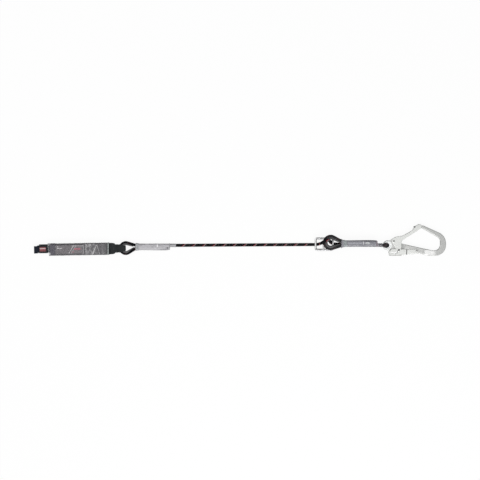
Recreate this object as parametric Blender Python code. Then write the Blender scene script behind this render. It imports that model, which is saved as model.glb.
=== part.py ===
"""Adjustable rope lanyard with an energy absorber, a three-bar adjuster and a scaffold hook.

It lies straight on a surface at z = 0, seen from +Z. The harness end points to -X and the hook to +X.
All sizes are in metres.
"""
from math import acos
from math import asin
from math import atan2
from math import ceil
from math import cos
from math import pi
from math import radians
from math import sin

import bmesh
import bpy
from mathutils import Matrix
from mathutils import Vector

# Gap between touching pieces
GAP = 0.0003

# Rope
ROPE_R = 0.006
LEG_GAP = 0.0006
SLEEVE_WALL = 0.0009
SLEEVE_R = ROPE_R + GAP + SLEEVE_WALL
SLEEVE_START = 0.0008
SLEEVE_FLARE = 0.0026
LINK_FLARE = 0.0068
HALF_FLARE = 0.0010
FLARE_MIDDLE = 0.0150
FLARE_END = 0.0230
SLEEVE_PAST_TAIL = 0.0012
SLEEVE_DROP_END = 0.0080
LEG_PITCH = 2 * ROPE_R + LEG_GAP
ROPE_SIDES = 4
ROPE_STEP = 0.012

# First thimble, at the energy absorber
CROWN = Vector((-0.4690, -0.0335, 0.0))
CROWN_Z = 0.0119
EYE_R = 0.0122
EYE_WALL = 0.0036
LEG_WALL = 0.0016
FLANGE_WALL = 0.0011
FLANGE_HALF = ROPE_R + GAP + FLANGE_WALL
THROAT_X = -0.4290
LEG_Y = -0.0222
LEG_END_Z = 0.0073

# Splice of the main rope
SPLICE_TAIL_X = -0.2985
SLEEVE_END_X = -0.2636
MAIN_START_X = -0.2677

# Three-bar adjuster
BAR_R = 0.0045
FRAME_LEFT = 0.3087
FRAME_LEFT_SPAN = 0.0328
FRAME_RIGHT_SPAN = 0.0385
FRAME_MIDDLE = FRAME_LEFT + FRAME_LEFT_SPAN
FRAME_RIGHT = FRAME_MIDDLE + FRAME_RIGHT_SPAN
FRAME_TOP = 0.0068
FRAME_BOTTOM = -0.0406
FRAME_CORNER = 0.0075
FRAME_Z = 2 * ROPE_R + BAR_R + GAP
MAIN_END_X = FRAME_LEFT - BAR_R - 0.0020
MAIN_END_Y = -0.0190

# Second thimble, on the link
LINK_CROWN = Vector((0.3698, -0.0105, 0.0))
LINK_EYE_R = 0.0130
LINK_EYE_WALL = 0.0060
LINK_Z = FRAME_Z + BAR_R + FLANGE_HALF + GAP
LINK_THROAT_X = 0.4190
LINK_LEG_Y = -0.0086
LINK_TAIL_X = 0.5505
LINK_SLEEVE_END_X = 0.5815
LINK_RETURN_X = 0.5050

# Adjuster rope, under the left bar, over the middle bar and the link's crown, down through its eye
TAIL_X = 0.4800
CAP_LENGTH = 0.018
CAP_WALL = 0.0011

# Energy absorber, in its own frame at the first crown
ABSORBER_TURN = radians(0.9)
WEB_THICK = 0.0026
EYE_STRAP = 0.0205
NECK_WIDTH = 0.0335
PACK_STRAP = 0.0455
PACK_RIGHT = -0.0689
PACK_LENGTH = 0.2497
PACK_WIDTH = 0.0525
PACK_HEIGHT = 0.0270
PACK_Y = -0.0010
COVER_WALL = 0.0010
FOLDS = 7
FOLD_PITCH = 0.0033
FOLD_WIDTH = 0.0450
FOLD_INSET = 0.0110
LABEL_LENGTH = 0.1150
LABEL_WIDTH = 0.0350
LABEL_THICK = 0.0005
LABEL_CENTRE = -0.2312
LOOP_THICK = 0.0030
LOOP_WIDTH = 0.0300
LOOP_REACH = 0.0575
LOOP_GAP = 0.0140
KEEPER_LENGTH = 0.0352
KEEPER_WIDTH = 0.0365
KEEPER_WALL = 0.0016
TAG_SIZE = (0.0256, 0.0184, 0.0008)

# Scaffold hook, in its own frame at the centre of its eye
EYE_POINT = Vector((0.6039, -0.0221, 0.0165))
HOOK_EYE_R = 0.0115
HOOK_RING_R = 0.0205
HALF_SHANK = 0.0040
EYE_EASE = 0.0020
HALF_SPINE = 0.0066
GATE_IN = HALF_SHANK + 0.0005
PLATE = 0.0020
GATE_OUT = GATE_IN + PLATE
LEVER_IN = HALF_SPINE + 0.0004
LEVER_OUT = LEVER_IN + PLATE
RIVET_R = 0.0030
HEAD_R = 0.0048
HEAD_THICK = 0.0012
HOLE_GAP = 0.0003
GATE_PIVOT = Vector((0.0248, 0.0164, 0.0))
LEVER_PIVOT = Vector((0.1185, -0.0230, 0.0))
LOCK_PIN = Vector((0.0449, -0.0207, 0.0))
TIP_RIVET = Vector((0.1107, 0.0750, 0.0))
PIN_R = 0.0025
TIP_RIVET_R = 0.0020
GATE_TRAVEL = radians(25)
LEVER_RATIO = 0.2
BOWL_REACH = 0.2403
BOWL_BAR = 0.0243
BOWL_X = BOWL_REACH - BOWL_BAR
SPINE_START = 0.0700
SPRING_WIRE_R = 0.0006
SPRING_TURNS = 2.5
SPRING_R = RIVET_R + 3 * SPRING_WIRE_R + 0.0006
SPRING_PITCH = 2 * SPRING_WIRE_R + 0.00045
POCKET_R = SPRING_R + SPRING_WIRE_R + 0.0005
POCKET_DEPTH = SPRING_TURNS * SPRING_PITCH + 2 * SPRING_WIRE_R + 2 * GAP
HOOK_TILT = asin((EYE_POINT.z - HALF_SPINE - GAP) / BOWL_REACH)


def clear_scene():
    """Remove whatever the file holds."""
    for item in list(bpy.data.objects):
        bpy.data.objects.remove(item, do_unlink=True)


def finish(name, colour, roughness, metallic=0.0, alpha=1.0):
    """A Principled material with one colour."""
    material = bpy.data.materials.new(name)
    material.use_nodes = True
    shader = material.node_tree.nodes["Principled BSDF"]
    shader.inputs["Base Color"].default_value = (*colour, 1.0)
    shader.inputs["Roughness"].default_value = roughness
    shader.inputs["Metallic"].default_value = metallic
    shader.inputs["Alpha"].default_value = alpha
    material.diffuse_color = (*colour, alpha)
    return material


def place(name, data, material, parent=None):
    """Put mesh or curve data in the scene as one named object."""
    item = bpy.data.objects.new(name, data)
    bpy.context.scene.collection.objects.link(item)
    data.materials.append(material)
    item.parent = parent
    return item


def frame_at(name, where, turn=None, parent=None):
    """An empty that carries a group of pieces, with its origin on their joint's axis."""
    holder = bpy.data.objects.new(name, None)
    bpy.context.scene.collection.objects.link(holder)
    holder.parent = parent
    holder.location = where
    if turn:
        holder.rotation_euler = turn
    return holder


def solid(name, shape, material, parent=None):
    """Turn a bmesh into an object with its faces pointing out."""
    bmesh.ops.recalc_face_normals(shape, faces=shape.faces)
    mesh = bpy.data.meshes.new(name)
    shape.to_mesh(mesh)
    shape.free()
    mesh.shade_smooth()
    mesh.set_sharp_from_angle(angle=radians(35))
    return place(name, mesh, material, parent)


def combine(item, tool, operation):
    """Join or cut an object with another, which stays as a hidden guide."""
    tool.hide_render = True
    tool.display_type = "WIRE"
    change = item.modifiers.new(tool.name, "BOOLEAN")
    change.operation = operation
    change.solver = "EXACT"
    change.object = tool


def rounded(corners, step=radians(18)):
    """A closed outline through (x, y, radius) corners, each one an arc of its radius."""
    outline = []
    count = len(corners)
    for index, (x, y, radius) in enumerate(corners):
        here = Vector((x, y))
        before = (Vector(corners[index - 1][:2]) - here).normalized()
        after = (Vector(corners[(index + 1) % count][:2]) - here).normalized()
        opening = before.angle(after)
        if radius <= 0:
            outline.append(here)
            continue
        centre = here + (before + after).normalized() * (radius / sin(opening / 2))
        reach = radius * cos(opening / 2) / sin(opening / 2)
        first = here + before * reach - centre
        sweep_angle = first.angle_signed(here + after * reach - centre)
        parts = max(2, ceil(abs(sweep_angle) / step))
        for part in range(parts + 1):
            outline.append(centre + Matrix.Rotation(-sweep_angle * part / parts, 2) @ first)
    return outline


def circle(centre, radius, sides):
    """The corners of a circle drawn as a polygon."""
    points = []
    for index in range(sides):
        angle = 2 * pi * index / sides
        points.append(Vector((centre[0] + radius * cos(angle), centre[1] + radius * sin(angle))))
    return points


def prism(outline, low, high, edge=0.0):
    """An outline raised from low to high, with its rims rounded by edge."""
    shape = bmesh.new()
    base = shape.faces.new([shape.verts.new((p[0], p[1], low)) for p in outline])
    raised = bmesh.ops.extrude_face_region(shape, geom=[base])
    moved = [v for v in raised["geom"] if isinstance(v, bmesh.types.BMVert)]
    bmesh.ops.translate(shape, verts=moved, vec=(0, 0, high - low))
    if edge:
        rims = [e for e in shape.edges if abs(e.verts[0].co.z - e.verts[1].co.z) < 1e-7]
        bmesh.ops.bevel(shape, geom=rims, offset=edge, segments=2, profile=0.5, affect="EDGES")
    return shape


def block(low, high):
    """A box between two corners."""
    outline = [(low[0], low[1]), (high[0], low[1]), (high[0], high[1]), (low[0], high[1])]
    return prism(outline, low[2], high[2])


def skin(rings, closed=False):
    """Faces between rings of points, capped at the ends unless the rings close on themselves."""
    shape = bmesh.new()
    rows = [[shape.verts.new(point) for point in ring] for ring in rings]
    count = len(rows[0])
    spans = len(rows) if closed else len(rows) - 1
    for index in range(spans):
        row = rows[index]
        other = rows[(index + 1) % len(rows)]
        for k in range(count):
            shape.faces.new((row[k], row[(k + 1) % count], other[(k + 1) % count], other[k]))
    if not closed:
        shape.faces.new(rows[0])
        shape.faces.new(rows[-1])
    return shape


def smooth_route(points, step=ROPE_STEP):
    """Points at an even step along a smooth curve through the given ones."""
    route = [Vector(p) for p in points]
    route = [2 * route[0] - route[1]] + route + [2 * route[-1] - route[-2]]
    fine = []
    for a, b, c, d in zip(route, route[1:], route[2:], route[3:]):
        for part in range(24):
            t = part / 24
            fine.append(0.5 * (2 * b + (c - a) * t + (2 * a - 5 * b + 4 * c - d) * t * t
                               + (3 * b - a - 3 * c + d) * t * t * t))
    fine.append(route[-2])
    lengths = [0.0]
    for p, q in zip(fine, fine[1:]):
        lengths.append(lengths[-1] + (q - p).length)
    parts = max(2, round(lengths[-1] / step))
    result = []
    at = 0
    for part in range(parts + 1):
        wanted = lengths[-1] * part / parts
        while at < len(fine) - 2 and lengths[at + 1] < wanted:
            at += 1
        share = (wanted - lengths[at]) / max(lengths[at + 1] - lengths[at], 1e-9)
        result.append(fine[at].lerp(fine[at + 1], min(share, 1.0)))
    return result


def tube(name, points, radius, material, parent=None, sides=ROPE_SIDES):
    """A round rope or wire along the points, with flat ends."""
    curve = bpy.data.curves.new(name, "CURVE")
    curve.dimensions = "3D"
    curve.bevel_depth = radius
    curve.bevel_resolution = sides
    curve.use_fill_caps = True
    spline = curve.splines.new("POLY")
    spline.points.add(len(points) - 1)
    for knot, point in zip(spline.points, points):
        knot.co = (*point, 1.0)
    return place(name, curve, material, parent)


def tangent_angle(centre, radius, point, side):
    """Angle of the place on a circle where a straight line to the point leaves it."""
    away = Vector(point) - centre.xy
    return atan2(away.y, away.x) + side * acos(radius / away.length)


class Teardrop:
    """The shape of a rope round a thimble: an arc on the left and two straight legs to the throat."""

    def __init__(self, centre, radius, throat_x, upper_y, lower_y):
        self.centre = centre.xy
        self.radius = radius
        self.middle = (upper_y + lower_y) / 2
        self.upper = tangent_angle(centre, radius, (throat_x, upper_y), 1)
        self.lower = tangent_angle(centre, radius, (throat_x, lower_y), -1)

    def arc(self, radius, parts):
        """Points and outward directions along the crown, from the upper leg round to the lower one."""
        span = 2 * pi + self.lower - self.upper
        found = []
        for part in range(parts + 1):
            angle = self.upper + span * part / parts
            outward = Vector((cos(angle), sin(angle)))
            found.append((self.centre + outward * radius, outward))
        return found

    def wall(self, radius, parts, tip_gap, inset):
        """The crown with both legs, which thin by inset and run on until they nearly meet."""
        found = self.arc(radius, parts)
        first, up = found[0]
        last, down = found[-1]
        run_up = (first.y + inset * up.y - self.middle - tip_gap) / up.x
        run_down = (self.middle - tip_gap - last.y - inset * down.y) / down.x
        start = first + Vector((up.y, -up.x)) * run_up
        end = last + Vector((-down.y, down.x)) * run_down
        rows = [(point, outward, 0.0) for point, outward in found]
        return [(start, up, inset)] + rows + [(end, down, inset)]


def thimble(name, drop, eye_radius, wall, half, height, flange, material):
    """A channel bent round the eye, with a flange on each side of the rope."""
    section = [
        (0.0, 0.0012 - half), (0.0012, -half), (flange, -half), (flange, FLANGE_WALL - half),
        (wall, FLANGE_WALL - half), (wall, half - FLANGE_WALL), (flange, half - FLANGE_WALL),
        (flange, half), (0.0012, half), (0.0, half - 0.0012),
    ]
    rings = []
    for point, outward, inset in drop.wall(eye_radius, 22, 0.0008, wall - LEG_WALL):
        ring = []
        for across, up in section:
            if inset and across > wall:
                across = wall + FLANGE_WALL
            elif across < wall:
                across += inset
            spot = point + outward * across
            ring.append((spot.x, spot.y, height + up))
        rings.append(ring)
    return solid(name, skin(rings), material)


def strap(name, stations, thick, material, parent=None, closed=False):
    """Flat webbing along (x, z, width, y) stations, with its width along Y."""
    rings = []
    count = len(stations)
    for index, (x, z, width, y) in enumerate(stations):
        before = stations[index - 1] if index or closed else stations[index]
        after = stations[(index + 1) % count] if index < count - 1 or closed else stations[index]
        here = Vector((x, z))
        back = (here - Vector(before[:2])).normalized()
        ahead = (Vector(after[:2]) - here).normalized()
        along = (back + ahead).normalized()
        lean = max(along.dot(ahead if ahead.length else back), 0.5)
        normal = Vector((-along.y, along.x)) * (thick / 2 / lean)
        low = here - normal
        high = here + normal
        left = y - width / 2
        right = y + width / 2
        rings.append([(low.x, left, low.y), (low.x, right, low.y), (high.x, right, high.y),
                      (high.x, left, high.y)])
    return solid(name, skin(rings, closed), material, parent)


def ring_along_x(name, outer, inner, start, end, material, parent):
    """A tube along X between two outlines of (y, z) points, open at both ends."""
    rings = []
    for outline, x in ((outer, start), (outer, end), (inner, end), (inner, start)):
        rings.append([(x, p[0], p[1]) for p in outline])
    return solid(name, skin(rings, closed=True), material, parent)


def frame_outline(centre_y, centre_z, width, height, radius):
    """A rounded rectangle in the YZ plane."""
    w = width / 2
    h = height / 2
    corners = [(-w, -h, radius), (w, -h, radius), (w, h, radius), (-w, h, radius)]
    return [(p.x + centre_y, p.y + centre_z) for p in rounded(corners, radians(30))]


ROPE_LOOP = Teardrop(CROWN, EYE_R + EYE_WALL + ROPE_R + 2 * GAP, THROAT_X, LEG_Y, LEG_Y - LEG_PITCH)
LINK_LOOP = Teardrop(LINK_CROWN, LINK_EYE_R + LINK_EYE_WALL + ROPE_R + 2 * GAP, LINK_THROAT_X,
                     LINK_LEG_Y, LINK_LEG_Y - LEG_PITCH)
PACK_Z = PACK_HEIGHT / 2 - CROWN_Z
WEB_Z = PACK_Z - 0.0009
WEB_LEFT = PACK_RIGHT - PACK_LENGTH + FOLD_INSET
WEB_RIGHT = PACK_RIGHT - 0.0262
HOOK_LEG_RISE = HALF_SHANK + ROPE_R + 0.0005
HOOK_BEND_X = EYE_POINT.x - 0.0096


def between(start, end, share):
    """The value a share of the way from start to end."""
    return start + (end - start) * share


def leg_height(x):
    """Height of the splice's legs, which come down from the thimble to the floor."""
    return between(CROWN_Z, LEG_END_Z, max(0.0, (x - THROAT_X) / (MAIN_START_X - THROAT_X)))


def link_height(x):
    """Height of the link's legs, from its thimble to the hook's eye."""
    share = (x - LINK_THROAT_X) / (HOOK_BEND_X - LINK_THROAT_X)
    return between(LINK_Z, EYE_POINT.z + HOOK_LEG_RISE + 0.0004, max(0.0, share))


def make_rope_eye(rope, plastic, clear):
    """The main rope's eye on its thimble, with the splice under a clear sleeve."""
    low_y = LEG_Y - LEG_PITCH
    route = []
    for x in (MAIN_START_X - GAP, -0.3200, -0.3700, THROAT_X + 0.022, THROAT_X + 0.010):
        route.append((x, LEG_Y, leg_height(x)))
    route.append((THROAT_X, LEG_Y + 0.0005, CROWN_Z))
    for point, _ in ROPE_LOOP.arc(ROPE_LOOP.radius, 9):
        route.append((point.x, point.y, CROWN_Z))
    route.append((THROAT_X, low_y - 0.0008, CROWN_Z))
    for x in (THROAT_X + 0.010, THROAT_X + 0.022, -0.3700, SPLICE_TAIL_X):
        route.append((x, low_y, leg_height(x)))
    tube("rope_eye", smooth_route(route, 0.007), ROPE_R, rope)
    thimble("rope_thimble", ROPE_LOOP, EYE_R, EYE_WALL, FLANGE_HALF, CROWN_Z, EYE_WALL + 0.0045, plastic)
    stations = [
        (THROAT_X + SLEEVE_START, LEG_Y + SLEEVE_FLARE, low_y - SLEEVE_FLARE),
        (THROAT_X + FLARE_MIDDLE, LEG_Y + HALF_FLARE, low_y - HALF_FLARE),
        (THROAT_X + FLARE_END, LEG_Y, low_y),
        (SPLICE_TAIL_X + SLEEVE_PAST_TAIL, LEG_Y, low_y),
        (SPLICE_TAIL_X + SLEEVE_DROP_END, LEG_Y, LEG_Y - 0.0012),
        (SLEEVE_END_X, LEG_Y, LEG_Y - 0.0006),
    ]
    sleeve("rope_sleeve", stations, leg_height, clear)


def sleeve(name, stations, height, material):
    """A clear sleeve shrunk over two legs side by side, or over one where the other has ended."""
    rings = []
    for radius, order in ((SLEEVE_R, stations), (SLEEVE_R - SLEEVE_WALL, stations[::-1])):
        for x, upper, lower in order:
            ring = []
            for index in range(16):
                angle = pi * index / 7 if index < 8 else pi + pi * (index - 8) / 7
                base = upper if index < 8 else lower
                ring.append((x, base + radius * sin(angle), height(x) + radius * cos(angle)))
            rings.append(ring)
    return solid(name, skin(rings, closed=True), material)


def make_main_rope(rope):
    """The long free rope, straight along the floor to the adjuster's first bar."""
    start = Vector((MAIN_START_X, LEG_Y, leg_height(MAIN_START_X)))
    end = Vector((MAIN_END_X, MAIN_END_Y, ROPE_R))
    route = [start, (MAIN_START_X + 0.030, LEG_Y, ROPE_R + 0.0002)]
    for part in (0.3, 0.55, 0.8):
        route.append((between(start.x, end.x, part), between(LEG_Y, MAIN_END_Y, part), ROPE_R))
    route.append(end)
    tube("rope_main", smooth_route(route, 0.018), ROPE_R, rope)


def make_adjuster_frame(steel, parent):
    """A rectangular ring of round bar with a third bar across it."""
    corners = [
        (FRAME_LEFT, FRAME_BOTTOM, FRAME_CORNER), (FRAME_RIGHT, FRAME_BOTTOM, FRAME_CORNER),
        (FRAME_RIGHT, FRAME_TOP, FRAME_CORNER), (FRAME_LEFT, FRAME_TOP, FRAME_CORNER),
    ]
    outline = rounded(corners)
    count = len(outline)
    rings = []
    for index, point in enumerate(outline):
        along = (outline[(index + 1) % count] - outline[index - 1]).normalized()
        outward = Vector((along.y, -along.x))
        ring = []
        for side in circle((0, 0), BAR_R, 12):
            spot = point + outward * side.x
            ring.append((spot.x, spot.y, FRAME_Z + side.y))
        rings.append(ring)
    frame = solid("adjuster_frame", skin(rings, closed=True), steel, parent)
    bar = prism(circle((0, 0), BAR_R - 0.0002, 12), FRAME_BOTTOM, FRAME_TOP)
    bmesh.ops.rotate(bar, verts=bar.verts, cent=(0, 0, 0), matrix=Matrix.Rotation(-pi / 2, 3, "X"))
    bmesh.ops.translate(bar, verts=bar.verts, vec=(FRAME_MIDDLE, 0, FRAME_Z))
    combine(frame, solid("middle_bar_guide", bar, steel, parent), "UNION")


def make_adjuster_rope(rope, plastic, parent):
    """The rope laced through the frame and the link's eye, with its tail and end cap."""
    tail_y = -0.0172
    tail_z = ROPE_R + GAP + CAP_WALL + 0.0003
    route = [
        (MAIN_END_X + GAP, MAIN_END_Y, 0.0060), (0.3068, MAIN_END_Y, 0.0060), (0.3108, -0.0188, 0.0064),
        (0.3162, -0.0182, 0.0088), (0.3230, -0.0166, 0.0155),
        (0.3295, -0.0142, 0.0250), (0.3316, -0.0130, 0.0310), (0.3344, -0.0112, 0.0376),
        (0.3396, -0.0078, 0.0418), (0.3460, -0.0042, 0.0435), (0.3520, -0.0016, 0.0436),
        (0.3585, -0.0020, 0.0438), (0.3630, -0.0027, 0.0436), (0.3668, -0.0045, 0.0410),
        (0.3686, -0.0062, 0.0350), (0.3691, -0.0073, 0.0280), (0.3690, -0.0082, 0.0210),
        (0.3688, -0.0091, 0.0150), (0.3706, -0.0106, 0.0101), (0.3742, -0.0124, 0.0070),
        (0.3805, -0.0146, 0.0060), (0.3920, -0.0166, 0.0060), (0.4300, tail_y, 0.0060),
        (0.4580, tail_y, tail_z), (0.4690, tail_y, tail_z), (TAIL_X, tail_y, tail_z),
    ]
    tube("rope_adjuster_run", smooth_route(route, 0.0045), ROPE_R, rope, parent)
    inner = ROPE_R + GAP
    outer = inner + CAP_WALL
    mouth = TAIL_X - CAP_LENGTH
    profile = [
        (inner, TAIL_X + GAP), (inner, mouth), (outer, mouth), (outer, TAIL_X + 0.0008),
        (outer - 0.0012, TAIL_X + GAP + CAP_WALL + 0.0006),
    ]
    rings = []
    for radius, x in profile:
        rings.append([(x, tail_y + p.x, tail_z + p.y) for p in circle((0, 0), radius, 16)])
    solid("rope_end_cap", skin(rings), plastic, parent)


def make_link(rope, plastic, clear, parent):
    """The short rope from its thimble in the adjuster to the hook's eye."""
    low_y = LINK_LEG_Y - LEG_PITCH
    hook_y = EYE_POINT.y
    route = []
    for x in (LINK_TAIL_X, 0.5100, 0.4700, LINK_THROAT_X + 0.022, LINK_THROAT_X + 0.010):
        route.append((x, LINK_LEG_Y, link_height(x)))
    route.append((LINK_THROAT_X, LINK_LEG_Y + 0.0008, LINK_Z))
    for point, _ in LINK_LOOP.arc(LINK_LOOP.radius, 9):
        route.append((point.x, point.y, LINK_Z))
    route.append((LINK_THROAT_X, low_y - 0.0008, LINK_Z))
    for x in (LINK_THROAT_X + 0.010, LINK_THROAT_X + 0.022, 0.4700, 0.5200, 0.5600):
        route.append((x, low_y, link_height(x)))
    route.append((0.5810, hook_y + 0.0003, link_height(0.5810)))
    for part in range(7):
        angle = pi / 2 - pi * part / 6
        x = HOOK_BEND_X - EYE_POINT.x + HOOK_LEG_RISE * cos(angle)
        z = HOOK_LEG_RISE * sin(angle)
        route.append((EYE_POINT.x + x * cos(HOOK_TILT) + z * sin(HOOK_TILT), hook_y,
                      EYE_POINT.z - x * sin(HOOK_TILT) + z * cos(HOOK_TILT)))
    for x in (0.5740, 0.5400, LINK_RETURN_X):
        route.append((x, hook_y, EYE_POINT.z - HOOK_LEG_RISE))
    tube("link_rope", smooth_route(route, 0.0055), ROPE_R, rope, parent)
    wide = LINK_EYE_WALL + 0.0040
    ring = thimble("link_thimble", LINK_LOOP, LINK_EYE_R, LINK_EYE_WALL, FLANGE_HALF, LINK_Z, wide, plastic)
    ring.parent = parent
    stations = [
        (LINK_THROAT_X - 0.0054, LINK_LEG_Y + LINK_FLARE, low_y - LINK_FLARE),
        (LINK_THROAT_X - 0.0040, LINK_LEG_Y + 0.0046, low_y - 0.0046),
        (LINK_THROAT_X + SLEEVE_START, LINK_LEG_Y + 0.0022, low_y - 0.0022),
        (LINK_THROAT_X + 0.0100, LINK_LEG_Y + 0.0006, low_y - 0.0006),
        (LINK_THROAT_X + FLARE_END, LINK_LEG_Y, low_y),
        (LINK_TAIL_X + SLEEVE_PAST_TAIL, LINK_LEG_Y, low_y),
        (LINK_TAIL_X + SLEEVE_DROP_END, low_y + 0.0012, low_y),
        (LINK_SLEEVE_END_X, low_y + 0.0003, low_y - 0.0009),
    ]
    cover = sleeve("link_sleeve", stations, link_height, clear)
    cover.parent = parent


def make_absorber(parent, webbing, black, clear, card, white):
    """The folded tear webbing in its clear cover, with a loop at each end."""
    outer = frame_outline(PACK_Y, PACK_Z, PACK_WIDTH, PACK_HEIGHT, 0.0040)
    inner = frame_outline(PACK_Y, PACK_Z, PACK_WIDTH - 2 * COVER_WALL, PACK_HEIGHT - 2 * COVER_WALL, 0.0030)
    ring_along_x("absorber_cover", outer, inner, PACK_RIGHT - PACK_LENGTH, PACK_RIGHT, clear, parent)

    bend = FOLD_PITCH / 2
    left = WEB_LEFT + bend + WEB_THICK / 2
    right = WEB_RIGHT - bend - WEB_THICK / 2
    base = WEB_Z - FOLD_PITCH * (FOLDS - 1) / 2
    stations = [(right, base)]
    for fold in range(FOLDS - 1):
        turn_x = left if fold % 2 == 0 else right
        side = -1 if fold % 2 == 0 else 1
        middle = base + FOLD_PITCH * (fold + 0.5)
        for part in range(7):
            angle = -pi / 2 + pi * part / 6
            stations.append((turn_x + side * bend * cos(angle), middle + bend * sin(angle)))
    stations.append((left, base + FOLD_PITCH * (FOLDS - 1)))
    strap("tear_webbing", [(x, z, FOLD_WIDTH, PACK_Y) for x, z in stations], WEB_THICK, webbing, parent)

    label_z = WEB_Z + FOLD_PITCH * (FOLDS - 1) / 2 + WEB_THICK / 2 + GAP
    label_y = PACK_Y - 0.0014
    low = (LABEL_CENTRE - LABEL_LENGTH / 2, label_y - LABEL_WIDTH / 2, label_z)
    high = (LABEL_CENTRE + LABEL_LENGTH / 2, label_y + LABEL_WIDTH / 2, label_z + LABEL_THICK)
    solid("pack_label", block(low, high), card, parent)

    layer = WEB_THICK / 2 + GAP
    over = FLANGE_HALF + 0.0004 + WEB_THICK / 2
    half = [
        (WEB_RIGHT + 0.0005, WEB_Z, layer, PACK_STRAP), (PACK_RIGHT - 0.0010, WEB_Z, layer, PACK_STRAP),
        (-0.0491, 0.0002, layer, PACK_STRAP), (-0.0426, 0.0, layer + 0.0003, NECK_WIDTH + 0.001),
        (-0.0371, 0.0, layer + 0.0018, NECK_WIDTH), (-0.0311, 0.0, over - 0.0016, NECK_WIDTH),
        (-0.0261, 0.0, over, NECK_WIDTH), (-0.0146, 0.0, over, NECK_WIDTH - 0.002),
        (-0.0066, 0.0, over, EYE_STRAP + 0.002), (-0.0033, 0.0, over - 0.0008, EYE_STRAP),
        (-0.0015, 0.0, over - 0.0033, EYE_STRAP),
    ]
    stations = []
    for x, centre, rise, width in half:
        y = PACK_Y if x < -0.012 else 0.0
        stations.append((x, centre - rise, width, y))
    for x, centre, rise, width in reversed(half):
        y = PACK_Y if x < -0.012 else 0.0
        stations.append((x, centre + rise, width, y))
    strap("lanyard_loop", stations, WEB_THICK, black, parent)

    layer = LOOP_THICK / 2 + GAP / 2
    keeper_end = PACK_RIGHT - PACK_LENGTH - 0.0010
    keeper_start = keeper_end - KEEPER_LENGTH
    nose = PACK_RIGHT - PACK_LENGTH - LOOP_REACH
    bend = LOOP_GAP / 2 + LOOP_THICK / 2
    bend_x = nose + LOOP_THICK / 2 + bend
    loop_y = PACK_Y - 0.0005
    half = [
        (WEB_LEFT - 0.0005, layer, loop_y + 0.0030), (keeper_start - 0.0016, layer, loop_y + 0.0030),
        (keeper_start - 0.0055, between(layer, bend, 0.55), loop_y + 0.0013), (bend_x, bend, loop_y),
    ]
    stations = [(x, PACK_Z - rise, LOOP_WIDTH, y) for x, rise, y in half]
    for part in range(1, 8):
        angle = -pi / 2 - pi * part / 8
        stations.append((bend_x + bend * cos(angle), PACK_Z + bend * sin(angle), LOOP_WIDTH, loop_y))
    stations += [(x, PACK_Z + rise, LOOP_WIDTH, y) for x, rise, y in reversed(half)]
    strap("harness_loop", stations, LOOP_THICK, webbing, parent)

    keeper_y = PACK_Y + 0.0035
    room = 2 * (layer + LOOP_THICK / 2 + GAP)
    inner_width = KEEPER_WIDTH - 2 * KEEPER_WALL
    outer = frame_outline(keeper_y, PACK_Z, KEEPER_WIDTH, room + 2 * KEEPER_WALL, 0.0022)
    inner = frame_outline(keeper_y, PACK_Z, inner_width, room, 0.0010)
    ring_along_x("harness_loop_keeper", outer, inner, keeper_start, keeper_end, black, parent)
    tag_z = PACK_Z + room / 2 + KEEPER_WALL + GAP
    tag_x = keeper_start + 0.0026
    tag_y = keeper_y - 0.0114
    high = (tag_x + TAG_SIZE[0], tag_y + TAG_SIZE[1], tag_z + TAG_SIZE[2])
    solid("keeper_tag", block((tag_x, tag_y, tag_z), high), white, parent)


def pin(name, radius, inside, head_radius, head, material, parent):
    """A rivet along Z with a rounded head at each end."""
    edge = head * 0.4
    top = inside + head
    profile = [
        (head_radius - edge, -top), (head_radius, edge - top), (head_radius, -inside), (radius, -inside),
        (radius, inside), (head_radius, inside), (head_radius, top - edge), (head_radius - edge, top),
    ]
    rings = []
    for ring_radius, z in profile:
        rings.append([(p.x, p.y, z) for p in circle((0, 0), ring_radius, 16)])
    return solid(name, skin(rings), material, parent)


def drill(item, centre, radius, low, high, name, material, parent, sides=20):
    """Cut a round hole along Z."""
    guide = solid(name, prism(circle(centre, radius, sides), low, high), material, parent)
    combine(item, guide, "DIFFERENCE")


def coil(name, start_z, material, parent):
    """A torsion spring's turns round its rivet."""
    points = []
    steps = round(SPRING_TURNS * 10)
    for index in range(steps + 1):
        angle = 2 * pi * index / 10
        points.append((SPRING_R * cos(angle), SPRING_R * sin(angle), start_z + SPRING_PITCH * index / 10))
    return tube(name, points, SPRING_WIRE_R, material, parent, sides=1)


def hook_ring():
    """The hook's eye: a flat ring with its inner and outer rims eased for the rope."""
    ease = HALF_SHANK - EYE_EASE
    profile = [
        (HOOK_EYE_R, -ease), (HOOK_EYE_R + EYE_EASE, -HALF_SHANK), (HOOK_RING_R - EYE_EASE, -HALF_SHANK),
        (HOOK_RING_R, -ease), (HOOK_RING_R, ease), (HOOK_RING_R - EYE_EASE, HALF_SHANK),
        (HOOK_EYE_R + EYE_EASE, HALF_SHANK), (HOOK_EYE_R, ease),
    ]
    rings = []
    for outward in circle((0, 0), 1.0, 32):
        rings.append([(outward.x * radius, outward.y * radius, z) for radius, z in profile])
    return skin(rings, closed=True)


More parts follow.
